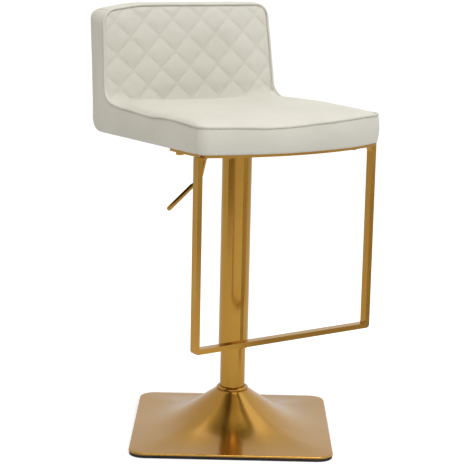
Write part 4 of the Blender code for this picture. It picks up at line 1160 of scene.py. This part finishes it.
def make_camera():
    """The viewpoint: 2.9 m away, 1 m up, 34 degrees to the side of the seat's front."""
    place = Vector((-0.0020, -2.9336, 0.9880))
    yaw, pitch, roll = (math.radians(a) for a in (-0.02, -11.23, 1.256))
    forward = Vector((-math.sin(yaw) * math.cos(pitch), math.cos(yaw) * math.cos(pitch),
                      math.sin(pitch)))
    level = Vector((math.cos(yaw), math.sin(yaw), 0))
    upright = level.cross(forward)
    right = math.cos(roll) * level + math.sin(roll) * upright
    up = -math.sin(roll) * level + math.cos(roll) * upright
    matrix = Matrix((right, up, -forward)).transposed().to_4x4()
    matrix.translation = place
    camera = linked("camera", bpy.data.cameras.new("camera"))
    camera.matrix_world = Matrix.Rotation(math.radians(VIEW_TURN), 4, "Z") @ matrix
    camera.data.sensor_width = 36
    camera.data.lens = 113.67
    camera.data.clip_end = 60
    bpy.context.scene.camera = camera


def toward_camera(distance, height, turn=0.0):
    """A place round the stool, turned from the camera's side by an angle in degrees."""
    a = math.radians(VIEW_TURN + turn)
    return (distance * math.sin(a), -distance * math.cos(a), height)


# ======== making it ========

def put(obj, body, slot, *replaced):
    """Let obj ride on a body, in place of the CAD nodes named. The slot argument is not used."""
    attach(obj, body)
    if replaced:
        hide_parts(*replaced)


dress_cad()
make_camera()
make_stage()
make_world()
area_light("top", (0.3, 0.2, 3.6), (0, 0, 0.5), 3.2, 22)
area_light("key", toward_camera(1.7, 3.7, 22), (0, 0, 0.6), 1.8, 48)
make_dark_card("dim_card", -44, 0.85, 2.4, 0.0, 1.4, (0.30, 0.25, 0.22))
make_dim_floor("dim_floor", 58, 82, 0.55, 4.0, (0.50, 0.48, 0.46))

for name, start, end, replaced in (
        ("front_boxing", TOTAL - FRONT_SEAM, TOTAL + FRONT_SEAM, ("seat_cover",)),
        ("right_boxing", FRONT_SEAM, TOP_SEAM, ("seat_cover", "back_cover")),
        ("top_boxing", TOP_SEAM, TOTAL - TOP_SEAM, ("back_cover",)),
        ("left_boxing", TOTAL - TOP_SEAM, TOTAL - FRONT_SEAM, ("seat_cover", "back_cover"))):
    put(make_boxing(name, start, end), "seat", "ivory_leather", *replaced)
rear_panel, rear_stitches = make_rear_panel()
put(rear_panel, "seat", "ivory_leather", "back_cover")
put(rear_stitches, "seat", "ivory_leather")
put(make_piping(), "seat", "ivory_leather", "piping")
put(seam_stitches(), "seat", "ivory_leather")
seat_cushion = make_seat_cushion()
put(seat_cushion, "seat", "ivory_leather", "seat_foam")
back_cushion = make_back_cushion()
put(back_cushion, "seat", "ivory_leather", "back_foam")
put(quilt_stitches(back_cushion), "seat", "ivory_leather")
put(make_dust_sheet(), "seat", "dust_cloth", "dust_cover")
put(make_base_pressing(), "base", "satin_gold", "base_shell")

bpy.context.scene.view_settings.view_transform = "Standard"
